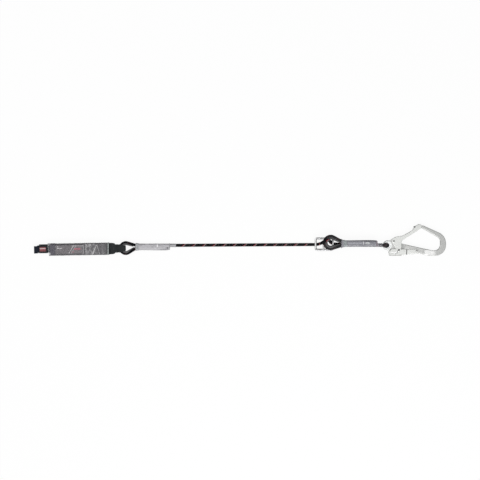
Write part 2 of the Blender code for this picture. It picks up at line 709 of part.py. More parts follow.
def make_hook_body(metal, steel, parent):
    """The forged hook: eye and shank, spine, bowl and nose."""
    corners = [
        (SPINE_START, 0.0045, 0.0), (0.1455, -0.0125, 0.060), (BOWL_X - 0.0305, -0.0208, 0.020),
        (BOWL_X, -0.0205, 0.024), (BOWL_X, 0.0275, 0.020), (0.1479, 0.0664, 0.0),
        (0.1401, 0.0842, 0.0022), (BOWL_REACH, 0.0392, 0.048), (BOWL_REACH, -0.0426, 0.043),
        (BOWL_X - 0.0491, -0.0426, 0.025), (0.1295, -0.0330, 0.008), (0.1090, -0.0332, 0.005),
        (0.1090, -0.0175, 0.002), (SPINE_START, -0.0165, 0.0),
    ]
    body = solid("hook_body", prism(rounded(corners), -HALF_SPINE, HALF_SPINE, 0.0016), metal, parent)
    corners = [
        (0.0040, 0.0180, 0.0), (0.0165, 0.0255, 0.006), (0.0325, 0.0255, 0.008), (0.0555, 0.0085, 0.010),
        (SPINE_START + 0.004, 0.0030, 0.0), (SPINE_START + 0.004, -0.0155, 0.0), (0.0120, -0.0160, 0.0),
    ]
    shank = solid("shank_guide", prism(rounded(corners), -HALF_SHANK, HALF_SHANK), metal, parent)
    combine(body, shank, "UNION")
    combine(body, solid("ring_guide", hook_ring(), metal, parent), "UNION")
    tongue = [(0.1340, 0.0815), (0.1325, 0.0735), (0.1435, 0.0688), (0.1515, 0.0660), (0.1515, 0.0760),
              (0.1415, 0.0822)]
    combine(body, solid("tongue_guide", prism(tongue, -HALF_SHANK, HALF_SHANK), metal, parent), "UNION")
    far = 2 * HALF_SPINE
    drill(body, (0, 0), HOOK_EYE_R, -far, far, "eye_guide", metal, parent, 32)
    for name, pivot in (("gate", GATE_PIVOT), ("lever", LEVER_PIVOT)):
        drill(body, pivot, RIVET_R + HOLE_GAP, -far, far, name + "_hole_guide", metal, parent)
    floor = POCKET_DEPTH - HALF_SHANK
    drill(body, GATE_PIVOT, POCKET_R, -far, floor, "gate_pocket_guide", metal, parent)
    drill(body, LEVER_PIVOT, POCKET_R, -far, POCKET_DEPTH - HALF_SPINE, "lever_pocket_guide", metal, parent)
    for name, pivot, inside in (("gate", GATE_PIVOT, GATE_OUT), ("lever", LEVER_PIVOT, LEVER_OUT)):
        holder = frame_at(name + "_rivet_frame", pivot, parent=parent)
        pin(name + "_rivet", RIVET_R, inside + GAP, HEAD_R, HEAD_THICK, steel, holder)
        depth = HALF_SHANK if name == "gate" else HALF_SPINE
        coil(name + "_spring", SPRING_WIRE_R + 0.0003 - depth, steel, holder)


def moved(corners, pivot):
    """Outline corners taken from the hook's frame to a pivot's."""
    return [(x - pivot.x, y - pivot.y, radius) for x, y, radius in corners]


def two_plates(name, outline, inside, outside, web, web_half, metal, parent):
    """A pressed channel: two side plates joined by a web."""
    item = solid(name, prism(outline, inside, outside), metal, parent)
    other = solid(name + "_under_guide", prism(outline, -outside, -inside), metal, parent)
    combine(item, other, "UNION")
    combine(item, solid(name + "_web_guide", prism(web, -web_half, web_half), metal, parent), "UNION")
    return item


def make_gate(metal, steel, parent):
    """The gate's two cheeks and arm, with the pin that locks it and a rivet near its tip."""
    corners = [
        (0.0160, 0.0250, 0.005), (0.0355, 0.0362, 0.012), (0.0615, 0.0390, 0.010), (0.1015, 0.0614, 0.004),
        (0.1105, 0.0785, 0.006), (0.1310, 0.0880, 0.003), (0.1387, 0.0838, 0.0), (0.1380, 0.0700, 0.003),
        (0.0575, 0.0185, 0.012), (0.0554, -0.0190, 0.004), (0.0495, -0.0258, 0.005),
        (0.0395, -0.0258, 0.005), (0.0155, 0.0150, 0.004),
    ]
    web = [(0.0805, 0.0333), (0.1265, 0.0627), (0.1253, 0.0646), (0.0793, 0.0352)]
    web = [(x - GATE_PIVOT.x, y - GATE_PIVOT.y) for x, y in web]
    outline = rounded(moved(corners, GATE_PIVOT))
    gate = two_plates("gate", outline, GATE_IN, GATE_OUT, web, GATE_IN + 0.0001, metal, parent)
    far = 2 * GATE_OUT
    drill(gate, (0, 0), RIVET_R + HOLE_GAP, -far, far, "gate_pivot_guide", metal, parent)
    for name, centre, radius, inside, head_radius in (
        ("lock_pin", LOCK_PIN, PIN_R, LEVER_OUT + GAP, HEAD_R),
        ("gate_tip_rivet", TIP_RIVET, TIP_RIVET_R, GATE_OUT + GAP, TIP_RIVET_R + 0.0012),
    ):
        where = centre - GATE_PIVOT
        drill(gate, where, radius + HOLE_GAP, -far, far, name + "_hole_guide", metal, parent)
        pin(name, radius, inside, head_radius, HEAD_THICK, steel, frame_at(name + "_frame", where, None, parent))


def slot_outline():
    """The path of the lock pin seen from the lever as both turn, widened to the pin and its clearance."""
    middle = []
    for part in range(7):
        turn = GATE_TRAVEL * part / 6
        pin_at = GATE_PIVOT.xy + Matrix.Rotation(-turn, 2) @ (LOCK_PIN - GATE_PIVOT).xy
        middle.append(Matrix.Rotation(LEVER_RATIO * turn, 2) @ (pin_at - LEVER_PIVOT.xy))
    width = PIN_R + 0.0006
    sides = ([], [])
    for index, point in enumerate(middle):
        along = (middle[min(index + 1, 6)] - middle[max(index - 1, 0)]).normalized()
        across = Vector((-along.y, along.x)) * width
        sides[0].append(point + across)
        sides[1].append(point - across)
    caps = []
    for centre, along in ((middle[-1], middle[-1] - middle[-2]), (middle[0], middle[0] - middle[1])):
        start = atan2(along.y, along.x) + pi / 2
        arc = [start - pi * part / 6 for part in range(1, 6)]
        caps.append([centre + Vector((cos(a), sin(a))) * width for a in arc])
    return sides[0] + caps[0] + sides[1][::-1] + caps[1]


def make_lever(metal, parent):
    """The palm lever, whose slots hold the lock pin."""
    corners = [
        (0.0040, -0.0250, 0.003), (0.0065, -0.0426, 0.004), (0.0555, -0.0426, 0.010),
        (0.0775, -0.0385, 0.003), (0.1255, -0.0345, 0.008), (0.1285, -0.0145, 0.008),
        (0.0775, -0.0162, 0.002), (0.0415, -0.0146, 0.005), (0.0160, -0.0146, 0.004),
    ]
    web = [(0.0115, -0.0425), (0.0535, -0.0425), (0.0535, -0.0404), (0.0115, -0.0404)]
    web = [(x - LEVER_PIVOT.x, y - LEVER_PIVOT.y) for x, y in web]
    outline = rounded(moved(corners, LEVER_PIVOT))
    lever = two_plates("safety_lever", outline, LEVER_IN, LEVER_OUT, web, LEVER_IN + 0.0001, metal, parent)
    far = 2 * LEVER_OUT
    drill(lever, (0, 0), RIVET_R + HOLE_GAP, -far, far, "lever_pivot_guide", metal, parent)
    combine(lever, solid("slot_guide", prism(slot_outline(), -far, far), metal, parent), "DIFFERENCE")


def main():
    """Build the lanyard."""
    clear_scene()
    rope = finish("rope", (0.020, 0.020, 0.022), 0.85)
    plastic = finish("thimble_plastic", (0.030, 0.030, 0.032), 0.50)
    clear = finish("clear_sleeve", (0.50, 0.49, 0.51), 0.25, alpha=0.45)
    webbing = finish("navy_webbing", (0.025, 0.029, 0.040), 0.80)
    black = finish("black_webbing", (0.030, 0.031, 0.033), 0.80)
    cover = finish("clear_cover", (0.24, 0.23, 0.24), 0.30, alpha=0.50)
    card = finish("label_card", (0.30, 0.28, 0.29), 0.60)
    tag = finish("tag_cloth", (0.32, 0.06, 0.07), 0.75)
    steel = finish("bright_steel", (0.72, 0.72, 0.72), 0.22, 1.0)
    cast = finish("hook_metal", (0.55, 0.55, 0.54), 0.38, 0.9)
    pressed = finish("pressed_metal", (0.70, 0.70, 0.68), 0.35, 0.9)
    dark = finish("rivet_steel", (0.22, 0.22, 0.22), 0.40, 1.0)

    make_rope_eye(rope, plastic, clear)
    make_main_rope(rope)
    turn = (0.0, 0.0, ABSORBER_TURN)
    make_absorber(frame_at("absorber_frame", (CROWN.x, CROWN.y, CROWN_Z), turn), webbing, black, cover, card, tag)
    adjuster = frame_at("adjuster_slide", (0.0, 0.0, 0.0))
    make_adjuster_frame(steel, adjuster)
    make_adjuster_rope(rope, plastic, adjuster)
    make_link(rope, plastic, clear, adjuster)
    hook = frame_at("hook_frame", EYE_POINT, (0.0, HOOK_TILT, 0.0))
    make_hook_body(cast, dark, hook)
    make_gate(pressed, dark, frame_at("gate_frame", GATE_PIVOT, parent=hook))
    make_lever(pressed, frame_at("lever_frame", LEVER_PIVOT, parent=hook))


main()
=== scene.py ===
import random
from math import acos, asin, atan2, ceil, cos, pi, radians, sin

import bmesh
import bpy
from mathutils import Matrix, Vector


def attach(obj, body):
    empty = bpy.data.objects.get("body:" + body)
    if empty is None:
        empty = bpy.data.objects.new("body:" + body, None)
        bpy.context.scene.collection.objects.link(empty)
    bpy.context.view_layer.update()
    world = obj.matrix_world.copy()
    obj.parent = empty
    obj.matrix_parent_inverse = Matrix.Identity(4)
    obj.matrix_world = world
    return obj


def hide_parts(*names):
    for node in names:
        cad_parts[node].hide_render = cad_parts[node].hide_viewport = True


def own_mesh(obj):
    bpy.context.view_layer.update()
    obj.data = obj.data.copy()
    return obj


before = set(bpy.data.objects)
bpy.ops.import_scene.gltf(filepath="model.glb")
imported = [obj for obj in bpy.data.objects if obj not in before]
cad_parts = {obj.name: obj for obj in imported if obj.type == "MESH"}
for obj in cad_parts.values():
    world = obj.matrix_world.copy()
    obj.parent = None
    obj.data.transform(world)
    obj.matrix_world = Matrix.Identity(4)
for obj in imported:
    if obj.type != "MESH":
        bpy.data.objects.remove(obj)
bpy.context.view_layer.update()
print("frame loaded,", len(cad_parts), "nodes")

random.seed(7)

# sizes that several pieces share, in metres
gap = 0.0003
ropeRadius = 0.006
legPitch = 0.0126


# shader wiring

def operation(kind, swapped=False):
    def apply(wire, *others):
        terms = (*others, wire) if swapped else (wire, *others)
        return wire.net.math(kind, *terms)
    return apply


class Wire:
    # one socket, so that nodes are written as sums
    __add__ = operation("ADD")
    __radd__ = operation("ADD", True)
    __sub__ = operation("SUBTRACT")
    __rsub__ = operation("SUBTRACT", True)
    __mul__ = operation("MULTIPLY")
    __rmul__ = operation("MULTIPLY", True)
    __truediv__ = operation("DIVIDE")
    __lt__ = operation("LESS_THAN")
    __gt__ = operation("GREATER_THAN")
    __abs__ = operation("ABSOLUTE")
    most = operation("MAXIMUM")
    least = operation("MINIMUM")
    sine = operation("SINE")
    root = operation("SQRT")
    floor = operation("FLOOR")
    wrapped = operation("FRACT")

    def __init__(self, net, socket):
        self.net = net
        self.socket = socket

    def clipped(self):
        return self.most(0.0).least(1.0)

    def near(self, place, reach):
        return abs(self - place) < reach

    def below(self, limit, slope):
        # 1 below the limit, fading to 0 at it
        return ((limit - self) * slope).clipped()

    def above(self, limit, slope):
        return ((self - limit) * slope).clipped()


class Net:
    # the nodes of one material, or of the world
    def __init__(self, name, world=None):
        self.material = world or bpy.data.materials.new(name)
        self.material.use_nodes = True
        self.tree = self.material.node_tree
        self.shader = self.tree.nodes["Background" if world else "Principled BSDF"]

    def node(self, kind, settings=None, values=None):
        made = self.tree.nodes.new(kind)
        for name, value in (settings or {}).items():
            if name == "stops":
                for element, (place, colour) in zip(made.color_ramp.elements, value):
                    element.position = place
                    element.color = (*colour, 1.0)
            else:
                setattr(made, name, value)
        for name, value in (values or {}).items():
            self.feed(made.inputs[name], value)
        return made

    def feed(self, socket, value):
        if isinstance(value, Wire):
            self.tree.links.new(value.socket, socket)
        elif hasattr(value, "__len__") and len(value) == 3 and len(socket.default_value) == 4:
            socket.default_value = (*value, 1.0)
        else:
            socket.default_value = value

    def math(self, kind, *terms):
        made = self.node("ShaderNodeMath", {"operation": kind}, dict(enumerate(terms)))
        return Wire(self, made.outputs[0])

    def mix(self, share, first, second):
        made = self.node("ShaderNodeMix", {"data_type": "RGBA"}, {0: share, 6: first, 7: second})
        return Wire(self, made.outputs[2])

    def axes(self, source="Object"):
        coords = self.node("ShaderNodeTexCoord")
        parts = self.node("ShaderNodeSeparateXYZ", None, {0: Wire(self, coords.outputs[source])})
        return [Wire(self, socket) for socket in parts.outputs]

    def noise(self, size, detail=3.0, rough=0.5, stretch=(1, 1, 1)):
        coords = self.node("ShaderNodeTexCoord")
        place = self.node("ShaderNodeMapping", None, {
            "Vector": Wire(self, coords.outputs["Object"]), "Scale": stretch})
        made = self.node("ShaderNodeTexNoise", None, {
            "Vector": Wire(self, place.outputs[0]), "Scale": 1 / size, "Detail": detail, "Roughness": rough})
        return Wire(self, made.outputs["Fac"])

    def set(self, **values):
        for name, value in values.items():
            self.feed(self.shader.inputs[name.replace("_", " ")], value)

    def bump(self, height, distance, strength=1.0):
        made = self.node("ShaderNodeBump", None, {
            "Height": height, "Distance": distance, "Strength": strength})
        self.feed(self.shader.inputs["Normal"], Wire(self, made.outputs[0]))


# finishes

ropeLook = {
    "black": (0.005, 0.005, 0.006), "sheen": (0.014, 0.014, 0.016), "red": (0.36, 0.035, 0.050),
    "white": (0.34, 0.31, 0.31), "pitch": 0.0418, "plaits": 10, "half": 0.5, "relief": 0.00028,
}
webThread = 0.0024
webRib = 0.0016


def ropeFinish(name, length, turn, shown, lift):
    # braided sheath with a red and a white strand, on the piece's own UV
    look = ropeLook
    net = Net(name)
    run, girth, _ = net.axes("UV")
    along = run * (length * look["plaits"] / look["pitch"])
    around = girth * look["plaits"]
    first = around + along + turn
    second = around - along
    over = ((first.floor() + second.floor()) * 0.5).wrapped() < 0.25
    ridges = [(strand.wrapped() * pi).sine() for strand in (first, second)]
    height = ridges[0] * over + ridges[1] * (1.0 - over)
    fuzz = net.noise(0.0011, 4.0, 0.6)
    # painted sheen: the strands' raised tops are painted lighter, towards the sheen colour
    dark, light = ([part + lift for part in look[tone]] for tone in ("black", "sheen"))
    colour = net.mix((height * 0.75 + fuzz * 0.4).clipped(), dark, light)
    strand = (first / look["plaits"]).wrapped() * look["plaits"]
    for place, tint in ((0.0, look["red"]), (1.0, look["white"])):
        lit = strand.near(place + look["half"], look["half"]) * (over * 0.75 + 0.25)
        colour = net.mix(lit * shown, colour, tint)
    net.set(Base_Color=colour, Roughness=0.92 - height * 0.06, Specular_IOR_Level=0.0)
    net.bump(height + fuzz * 0.35, 0.0005, 0.9)
    return net.material


def woven(first, firstRate, second, secondRate):
    # threads that cross, from 0 to 1
    return (first * firstRate).sine() * (second * secondRate).sine() * 0.5 + 0.5


def webFinish(name, dark, light):
    # flat woven webbing: ribs across and threads along, on the strap's own UV in metres
    net = Net(name)
    along, across, _ = net.axes("UV")
    weave = woven(across, 2 * pi / webThread, along, 2 * pi / webRib)
    worn = net.noise(0.018, 4.0, 0.6)
    fuzz = net.noise(0.0009, 2.0, 0.6)
    shade = (weave * 0.55 + worn * 0.35 + fuzz * 0.25 - 0.1).clipped()
    net.set(Base_Color=net.mix(shade, dark, light), Roughness=0.86 + fuzz * 0.1, Specular_IOR_Level=0.15)
    net.bump(weave * 0.7 + fuzz * 0.5, 0.0006, 0.8)
    return net.material


def plasticFinish(name, dark, light, rough=0.45):
    net = Net(name)
    grain = net.noise(0.0022, 3.0, 0.6)
    cloud = net.noise(0.03, 2.0, 0.5)
    colour = net.mix((cloud * 0.7 + grain * 0.3).clipped(), dark, light)
    net.set(Base_Color=colour, Roughness=rough + grain * 0.15)
    net.bump(grain, 0.0002, 0.5)
    return net.material


def filmFinish(name, pale, shadow, cover, marks):
    # clear film: part see-through, milky where it creases, with painted shade towards its sides where they
    # turn from view
    net = Net(name)
    crinkle = net.noise(0.010, 5.0, 0.62, (0.45, 1.0, 1.0))
    fine = net.noise(0.0022, 3.0, 0.6, (0.5, 1.0, 1.0))
    ridge = (1.0 - abs(crinkle - 0.5) * 7.0).clipped()
    tint = net.mix((crinkle * 1.4 - 0.2).clipped(), shadow, pale)
    # painted shade: the colour darkens where the film turns away from the camera
    slant = net.node("ShaderNodeLayerWeight", None, {"Blend": 0.35})
    side = Wire(net, slant.outputs["Facing"])
    tint = net.mix((side * 1.1).clipped(), tint, tuple(c * 0.45 for c in shadow))
    cover = cover + ridge * 0.16 + fine * 0.08
    x, y, _ = net.axes()
    for left, right, low, high, paint, strength, thinner in marks:
        spot = x.above(left, 700.0) * x.below(right, 700.0) * y.above(low, 900.0) * y.below(high, 900.0)
        tint = net.mix(spot * strength * (fine * 0.6 + 0.7).clipped(), tint, paint)
        cover = cover - spot * thinner
    net.set(Base_Color=tint, Roughness=0.16 + crinkle * 0.2, Alpha=cover.clipped(),
            IOR=1.45, Coat_Weight=0.4, Coat_Roughness=0.15)
    net.bump(ridge * 0.6 + crinkle + fine * 0.3, 0.0012, 0.8)
    return net.material


def metalGround(net, dull, bright, grain=0.0011, spread=0.022, share=0.4, less=0.1):
    # a metal's own tone: fine grain over soft clouds
    fine = net.noise(grain, 4.0, 0.6)
    cloud = net.noise(spread, 3.0, 0.55)
    return fine, cloud, net.mix((cloud * 0.8 + fine * share - less).clipped(), dull, bright)


def metalFinish(name, dull, bright, rough, metal, grain, pits):
    net = Net(name)
    fine, cloud, colour = metalGround(net, dull, bright, grain)
    net.set(Base_Color=colour, Metallic=metal, Roughness=rough + fine * 0.12 + cloud * 0.08)
    net.bump(fine * pits + cloud * 0.25, 0.0004, 0.55)
    return net.material


# shaping helpers

xAxis, yAxis, zAxis = (Vector(axis) for axis in ((1, 0, 0), (0, 1, 0), (0, 0, 1)))


def between(start, end, share):
    return start + (end - start) * share


def heading(angle):
    return Vector((cos(angle), sin(angle)))


def clamp(value):
    return min(max(value, 0.0), 1.0)


def wear(piece, material, body, slotName, *nodes):
    # give a finished piece its material and body, and hide the solids that it stands for
    piece.data.materials.clear()
    piece.data.materials.append(material)
    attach(piece, body)
    if nodes:
        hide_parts(*nodes)
    return piece


def addObject(name, data):
    piece = bpy.data.objects.new(name, data)
    bpy.context.scene.collection.objects.link(piece)
    return piece


def smooth(piece, angle):
    # smooth all over but for edges sharper than the angle, in degrees
    piece.data.shade_smooth()
    piece.data.set_sharp_from_angle(angle=radians(angle))


def bareObject(name, bm):
    # object at the origin, its mesh just as the bmesh is
    mesh = bpy.data.meshes.new(name)
    bm.to_mesh(mesh)
    bm.free()
    return addObject(name, mesh)


def meshObject(name, bm, matrix=None, sharp=38):
    # doubles merged, normals outwards, place in the vertices
    bmesh.ops.remove_doubles(bm, verts=bm.verts, dist=1e-6)
    bmesh.ops.recalc_face_normals(bm, faces=bm.faces)
    if matrix:
        bmesh.ops.transform(bm, matrix=matrix, verts=bm.verts)
    piece = bareObject(name, bm)
    smooth(piece, sharp)
    return piece


def joined(name, meshes):
    # several bmeshes in one, before it is made an object
    whole = bmesh.new()
    for part in meshes:
        mesh = bpy.data.meshes.new(name)
        part.to_mesh(mesh)
        part.free()
        whole.from_mesh(mesh)
        bpy.data.meshes.remove(mesh)
    return whole


def giveUv(bm, place):
    # a UV map, each vertex placed by the rule
    uv = bm.loops.layers.uv.new("UVMap")
    for face in bm.faces:
        for loop in face.loops:
            loop[uv].uv = place(loop.vert)


def addBevel(piece, width, segments, angle):
    change = piece.modifiers.new("softEdge", "BEVEL")
    change.width = width
    change.segments = segments
    change.limit_method = "ANGLE"
    change.angle_limit = radians(angle)
    change.harden_normals = False


def addWall(piece, thick, offset, even=False):
    change = piece.modifiers.new("wall", "SOLIDIFY")
    change.thickness = thick
    change.offset = offset
    change.use_even_offset = even


def combine(piece, tool, how):
    change = piece.modifiers.new("cut", "BOOLEAN")
    change.operation = how
    change.solver = "EXACT"
    change.object = tool
    applyModifiers(piece)
    bpy.data.objects.remove(tool)


def applyModifiers(piece):
    deps = bpy.context.evaluated_depsgraph_get()
    mesh = bpy.data.meshes.new_from_object(piece.evaluated_get(deps))
    old = piece.data
    piece.modifiers.clear()
    piece.data = mesh
    bpy.data.meshes.remove(old)


def roundedOutline(corners, step=6):
    # closed outline through (x, y, radius) corners
    outline = []
    count = len(corners)
    for index, (x, y, radius) in enumerate(corners):
        here = Vector((x, y))
        before = (Vector(corners[index - 1][:2]) - here).normalized()
        after = (Vector(corners[(index + 1) % count][:2]) - here).normalized()
        if radius <= 0:
            outline.append(here)
            continue
        opening = before.angle(after)
        centre = here + (before + after).normalized() * (radius / sin(opening / 2))
        reach = radius * cos(opening / 2) / sin(opening / 2)
        first = here + before * reach - centre
        turn = first.angle_signed(here + after * reach - centre)
        parts = max(3, ceil(abs(turn) / radians(step)))
        for part in range(parts + 1):
            outline.append(centre + Matrix.Rotation(-turn * part / parts, 2) @ first)
    return outline


def plate(outline, low, high, rim=0.0, segments=3, eased=None):
    # outline raised from low to high, the rims at the heights in eased rounded, or both
    bm = bmesh.new()
    face = bm.faces.new([bm.verts.new((p[0], p[1], low)) for p in outline])
    raised = bmesh.ops.extrude_face_region(bm, geom=[face])
    top = [v for v in raised["geom"] if isinstance(v, bmesh.types.BMVert)]
    bmesh.ops.translate(bm, verts=top, vec=(0, 0, high - low))
    bmesh.ops.recalc_face_normals(bm, faces=bm.faces)
    if rim:
        heights = eased or (low, high)
        edges = [e for e in bm.edges if any(all(abs(v.co.z - z) < 1e-7 for v in e.verts) for z in heights)]
        bmesh.ops.bevel(bm, geom=edges, offset=rim, segments=segments, profile=0.5, affect="EDGES",
                        material=-1)
    return bm


def smoothRoute(points, step):
    # even points on a smooth curve through the given ones, and its length
    route = [Vector(p) for p in points]
    route = [2 * route[0] - route[1]] + route + [2 * route[-1] - route[-2]]
    fine = []
    for a, b, c, d in zip(route, route[1:], route[2:], route[3:]):
        for part in range(24):
            t = part / 24
            fine.append(0.5 * (2 * b + (c - a) * t + (2 * a - 5 * b + 4 * c - d) * t * t
                               + (3 * b - a - 3 * c + d) * t * t * t))
    fine.append(route[-2])
    lengths = [0.0]
    for p, q in zip(fine, fine[1:]):
        lengths.append(lengths[-1] + (q - p).length)
    parts = max(2, round(lengths[-1] / step))
    result = []
    at = 0
    for part in range(parts + 1):
        wanted = lengths[-1] * part / parts
        while at < len(fine) - 2 and lengths[at + 1] < wanted:
            at += 1
        share = (wanted - lengths[at]) / max(lengths[at + 1] - lengths[at], 1e-9)
        result.append(fine[at].lerp(fine[at + 1], min(share, 1.0)))
    return result, lengths[-1]


def tubeMesh(name, points, radius, resolution):
    # a round tube along the points, with the curve's UV
    curve = bpy.data.curves.new(name, "CURVE")
    curve.dimensions = "3D"
    curve.bevel_depth = radius
    curve.bevel_resolution = resolution
    curve.use_fill_caps = True
    spline = curve.splines.new("POLY")
    spline.points.add(len(points) - 1)
    for knot, point in zip(spline.points, points):
        knot.co = (*point, 1.0)
    holder = addObject(name + "Curve", curve)
    deps = bpy.context.evaluated_depsgraph_get()
    mesh = bpy.data.meshes.new_from_object(holder.evaluated_get(deps))
    bpy.data.objects.remove(holder)
    bpy.data.curves.remove(curve)
    piece = addObject(name, mesh)
    smooth(piece, 50)
    return piece


def sweepRows(rows, closed=True, caps=False):
    # skin over rows of points, each row extruded from the one before
    bm = bmesh.new()
    count = len(rows[0])
    row = [bm.verts.new(place) for place in rows[0]]
    last = count if closed else count - 1
    edges = [bm.edges.new((row[k], row[(k + 1) % count])) for k in range(last)]
    if caps:
        bm.faces.new(row)
    made = [row]
    for places in rows[1:]:
        grown = bmesh.ops.extrude_edge_only(bm, edges=edges)["geom"]
        fresh = {item for item in grown if isinstance(item, bmesh.types.BMVert)}
        edges = [e for e in grown if isinstance(e, bmesh.types.BMEdge) and all(v in fresh for v in e.verts)]
        row = [next(e.other_vert(v) for e in v.link_edges if e.other_vert(v) in fresh) for v in row]
        for vert, place in zip(row, places):
            vert.co = place
        made.append(row)
    if caps:
        bm.faces.new(row)
    return bm, made


def strapMesh(name, stations, thick, matrix, step=0.0015, ripple=0.0):
    # flat webbing through (x, z, width, y) stations, its width along Y, with its own UV in metres
    step = step
    path, _ = smoothRoute([(x, width, z) for x, z, width, y in stations], step)
    sides, _ = smoothRoute([(x, y, z) for x, z, width, y in stations], step)
    count = 12
    rows = []
    runs = []
    run = 0.0
    for index, (spot, mid) in enumerate(zip(path, sides)):
        if index:
            run += Vector((spot.x - path[index - 1].x, spot.z - path[index - 1].z)).length
        runs.append(run)
        wide = spot.y + ripple * sin(run * 260 + 1.3 * sin(run * 90))
        rows.append([(spot.x, mid.y - wide / 2 + wide * k / count, spot.z) for k in range(count + 1)])
    bm, made = sweepRows(rows, closed=False)
    place = {vert: (run, vert.co.y) for row, run in zip(made, runs) for vert in row}
    giveUv(bm, place.get)
    piece = bareObject(name, bm)
    addWall(piece, thick, 0.0, True)
    addBevel(piece, 0.0007, 2, 60)
    applyModifiers(piece)
    piece.data.transform(matrix)
    smooth(piece, 50)
    return piece


# camera, floor and light

view = {"lens": 100, "sensor": 36, "width": 1.968, "middle": (-0.0008, -0.0004, 0.012)}
surround = {"floor": 6, "sink": 0.0006, "glow": 0.93, "lean": -0.6, "dim": 0.03, "pale": 0.86, "lift": 0.163}
lamps = (("keyLight", (0.5, -2.1, 2.9), 1.9, 58), ("fillLight", (-2.0, 1.4, 3.0), 2.4, 24))


def makeCamera():
    camera = bpy.data.cameras.new("camera")
    camera.lens = view["lens"]
    camera.sensor_width = view["sensor"]
    camera.clip_end = 50
    holder = addObject("camera", camera)
    holder.location = Vector(view["middle"]) + Vector((0, 0, view["width"] * view["lens"] / view["sensor"]))
    bpy.context.scene.camera = holder
    bpy.context.scene.view_settings.view_transform = "Standard"


def makeFloor():
    # white sheet that looks the same to the camera however it is lit, and still takes shadows
    bm = bmesh.new()
    bmesh.ops.create_grid(bm, x_segments=1, y_segments=1, size=surround["floor"])
    bmesh.ops.translate(bm, verts=bm.verts, vec=(0, 0, -surround["sink"]))
    floor = meshObject("floor", bm)
    net = Net("whiteFloor")
    net.set(Base_Color=(0.9, 0.9, 0.9), Roughness=0.9)
    ray = net.node("ShaderNodeLightPath")
    names = ("Is Camera Ray", "Is Glossy Ray", "Is Transmission Ray")
    camera, glossy, clear = [Wire(net, ray.outputs[name]) for name in names]
    glow = net.node("ShaderNodeEmission", None, {"Color": (1, 1, 1), "Strength": 1.0})
    mixed = net.node("ShaderNodeMixShader", None, {
        0: camera.most(glossy).most(clear) * surround["glow"],
        1: Wire(net, net.shader.outputs[0]), 2: Wire(net, glow.outputs[0])})
    net.feed(net.tree.nodes["Material Output"].inputs[0], Wire(net, mixed.outputs[0]))
    floor.data.materials.append(net.material)


def makeLight():
    # darker low on one side, for the metal to reflect, and white to the camera
    world = bpy.data.worlds.new("surround")
    bpy.context.scene.world = world
    net = Net("surround", world)
    _, side, up = net.axes("Generated")
    seen = Wire(net, net.node("ShaderNodeLightPath").outputs["Is Camera Ray"])
    stops = ((0.0, [surround["dim"]] * 3), (1.0, [surround["pale"]] * 3))
    ramp = net.node("ShaderNodeValToRGB", {"stops": stops}, {0: (side * surround["lean"] + up).most(seen)})
    net.set(Color=Wire(net, ramp.outputs[0]), Strength=seen * surround["lift"] + 1.0)
    for name, place, size, power in lamps:
        lamp = bpy.data.lights.new(name, "AREA")
        lamp.size = size
        lamp.energy = power
        piece = addObject(name, lamp)
        piece.location = place
        piece.rotation_euler = (-Vector(place)).to_track_quat("-Z", "Y").to_euler()


makeCamera()
makeFloor()
makeLight()
print("stage made")


# rope routes, as the solids have them

splice = {
    "crown": Vector((-0.4690, -0.0335)), "z": 0.0119, "eye": 0.0122, "wall": 0.0036, "throat": -0.4290,
    "leg": -0.0222, "endZ": 0.0073, "mainStart": -0.2677, "tail": -0.2985, "sleeveEnd": -0.2636,
    "round": (0.0005, 0.0008),
}
link = {
    "crown": Vector((0.3698, -0.0105)), "z": 0.0290, "eye": 0.0130, "wall": 0.0060, "throat": 0.4190,
    "leg": -0.0086, "tail": 0.5505, "sleeveEnd": 0.5815, "return": 0.5050, "round": (0.0008, 0.0008),
}
eyePoint = Vector((0.6039, -0.0221, 0.0165))
halfShank = 0.0040
halfSpine = 0.0066
bowlReach = 0.2403
hookTilt = asin((eyePoint.z - halfSpine - gap) / bowlReach)
legRise = halfShank + ropeRadius + 0.0005
bendX = eyePoint.x - 0.0096

# the link rope spreads where it bends through the hook's eye, more so above the ring
bight = {"start": 0.5830, "fade": 0.009, "swell": 0.30, "more": 0.28, "above": 0.0045, "rise": 0.003}


def legHeight(x):
    span = splice["mainStart"] - splice["throat"]
    return between(splice["z"], splice["endZ"], max(0.0, (x - splice["throat"]) / span))


def linkHeight(x):
    share = (x - link["throat"]) / (bendX - link["throat"])
    return between(link["z"], eyePoint.z + legRise + 0.0004, max(0.0, share))


def leaving(centre, radius, point, side):
    # angle at which a straight leg leaves the crown's circle
    away = Vector(point) - centre
    return atan2(away.y, away.x) + side * acos(radius / away.length)


def crownArc(spec, ropeLoop, radius, parts):
    # points and outward directions round the crown, from the upper leg to the lower one
    upper = leaving(spec["crown"], ropeLoop, (spec["throat"], spec["leg"]), 1)
    lower = leaving(spec["crown"], ropeLoop, (spec["throat"], spec["leg"] - legPitch), -1)
    found = []
    for part in range(parts + 1):
        outward = heading(upper + (2 * pi + lower - upper) * part / parts)
        found.append((spec["crown"] + outward * radius, outward))
    return found


def loopRadius(spec):
    return spec["eye"] + spec["wall"] + ropeRadius + 2 * gap


def raiseBraid(piece, length, turn):
    # lift each strand where it lies on top, as the finish colours it
    uv = piece.data.uv_layers[0].data
    count = ropeLook["plaits"]
    heights = {}
    for face in piece.data.polygons:
        if len(face.vertices) == 4:
            for corner in face.loop_indices:
                u, v = uv[corner].uv
                run = u * length * count / ropeLook["pitch"]
                first = v * count + run + turn
                second = v * count - run
                over = (int(first // 1) + int(second // 1)) % 2 == 0
                ridge = sin(pi * ((first if over else second) % 1))
                heights[piece.data.loops[corner].vertex_index] = ridge
    normals = [v.normal.copy() for v in piece.data.vertices]
    for index, ridge in heights.items():
        piece.data.vertices[index].co += normals[index] * ropeLook["relief"] * ridge


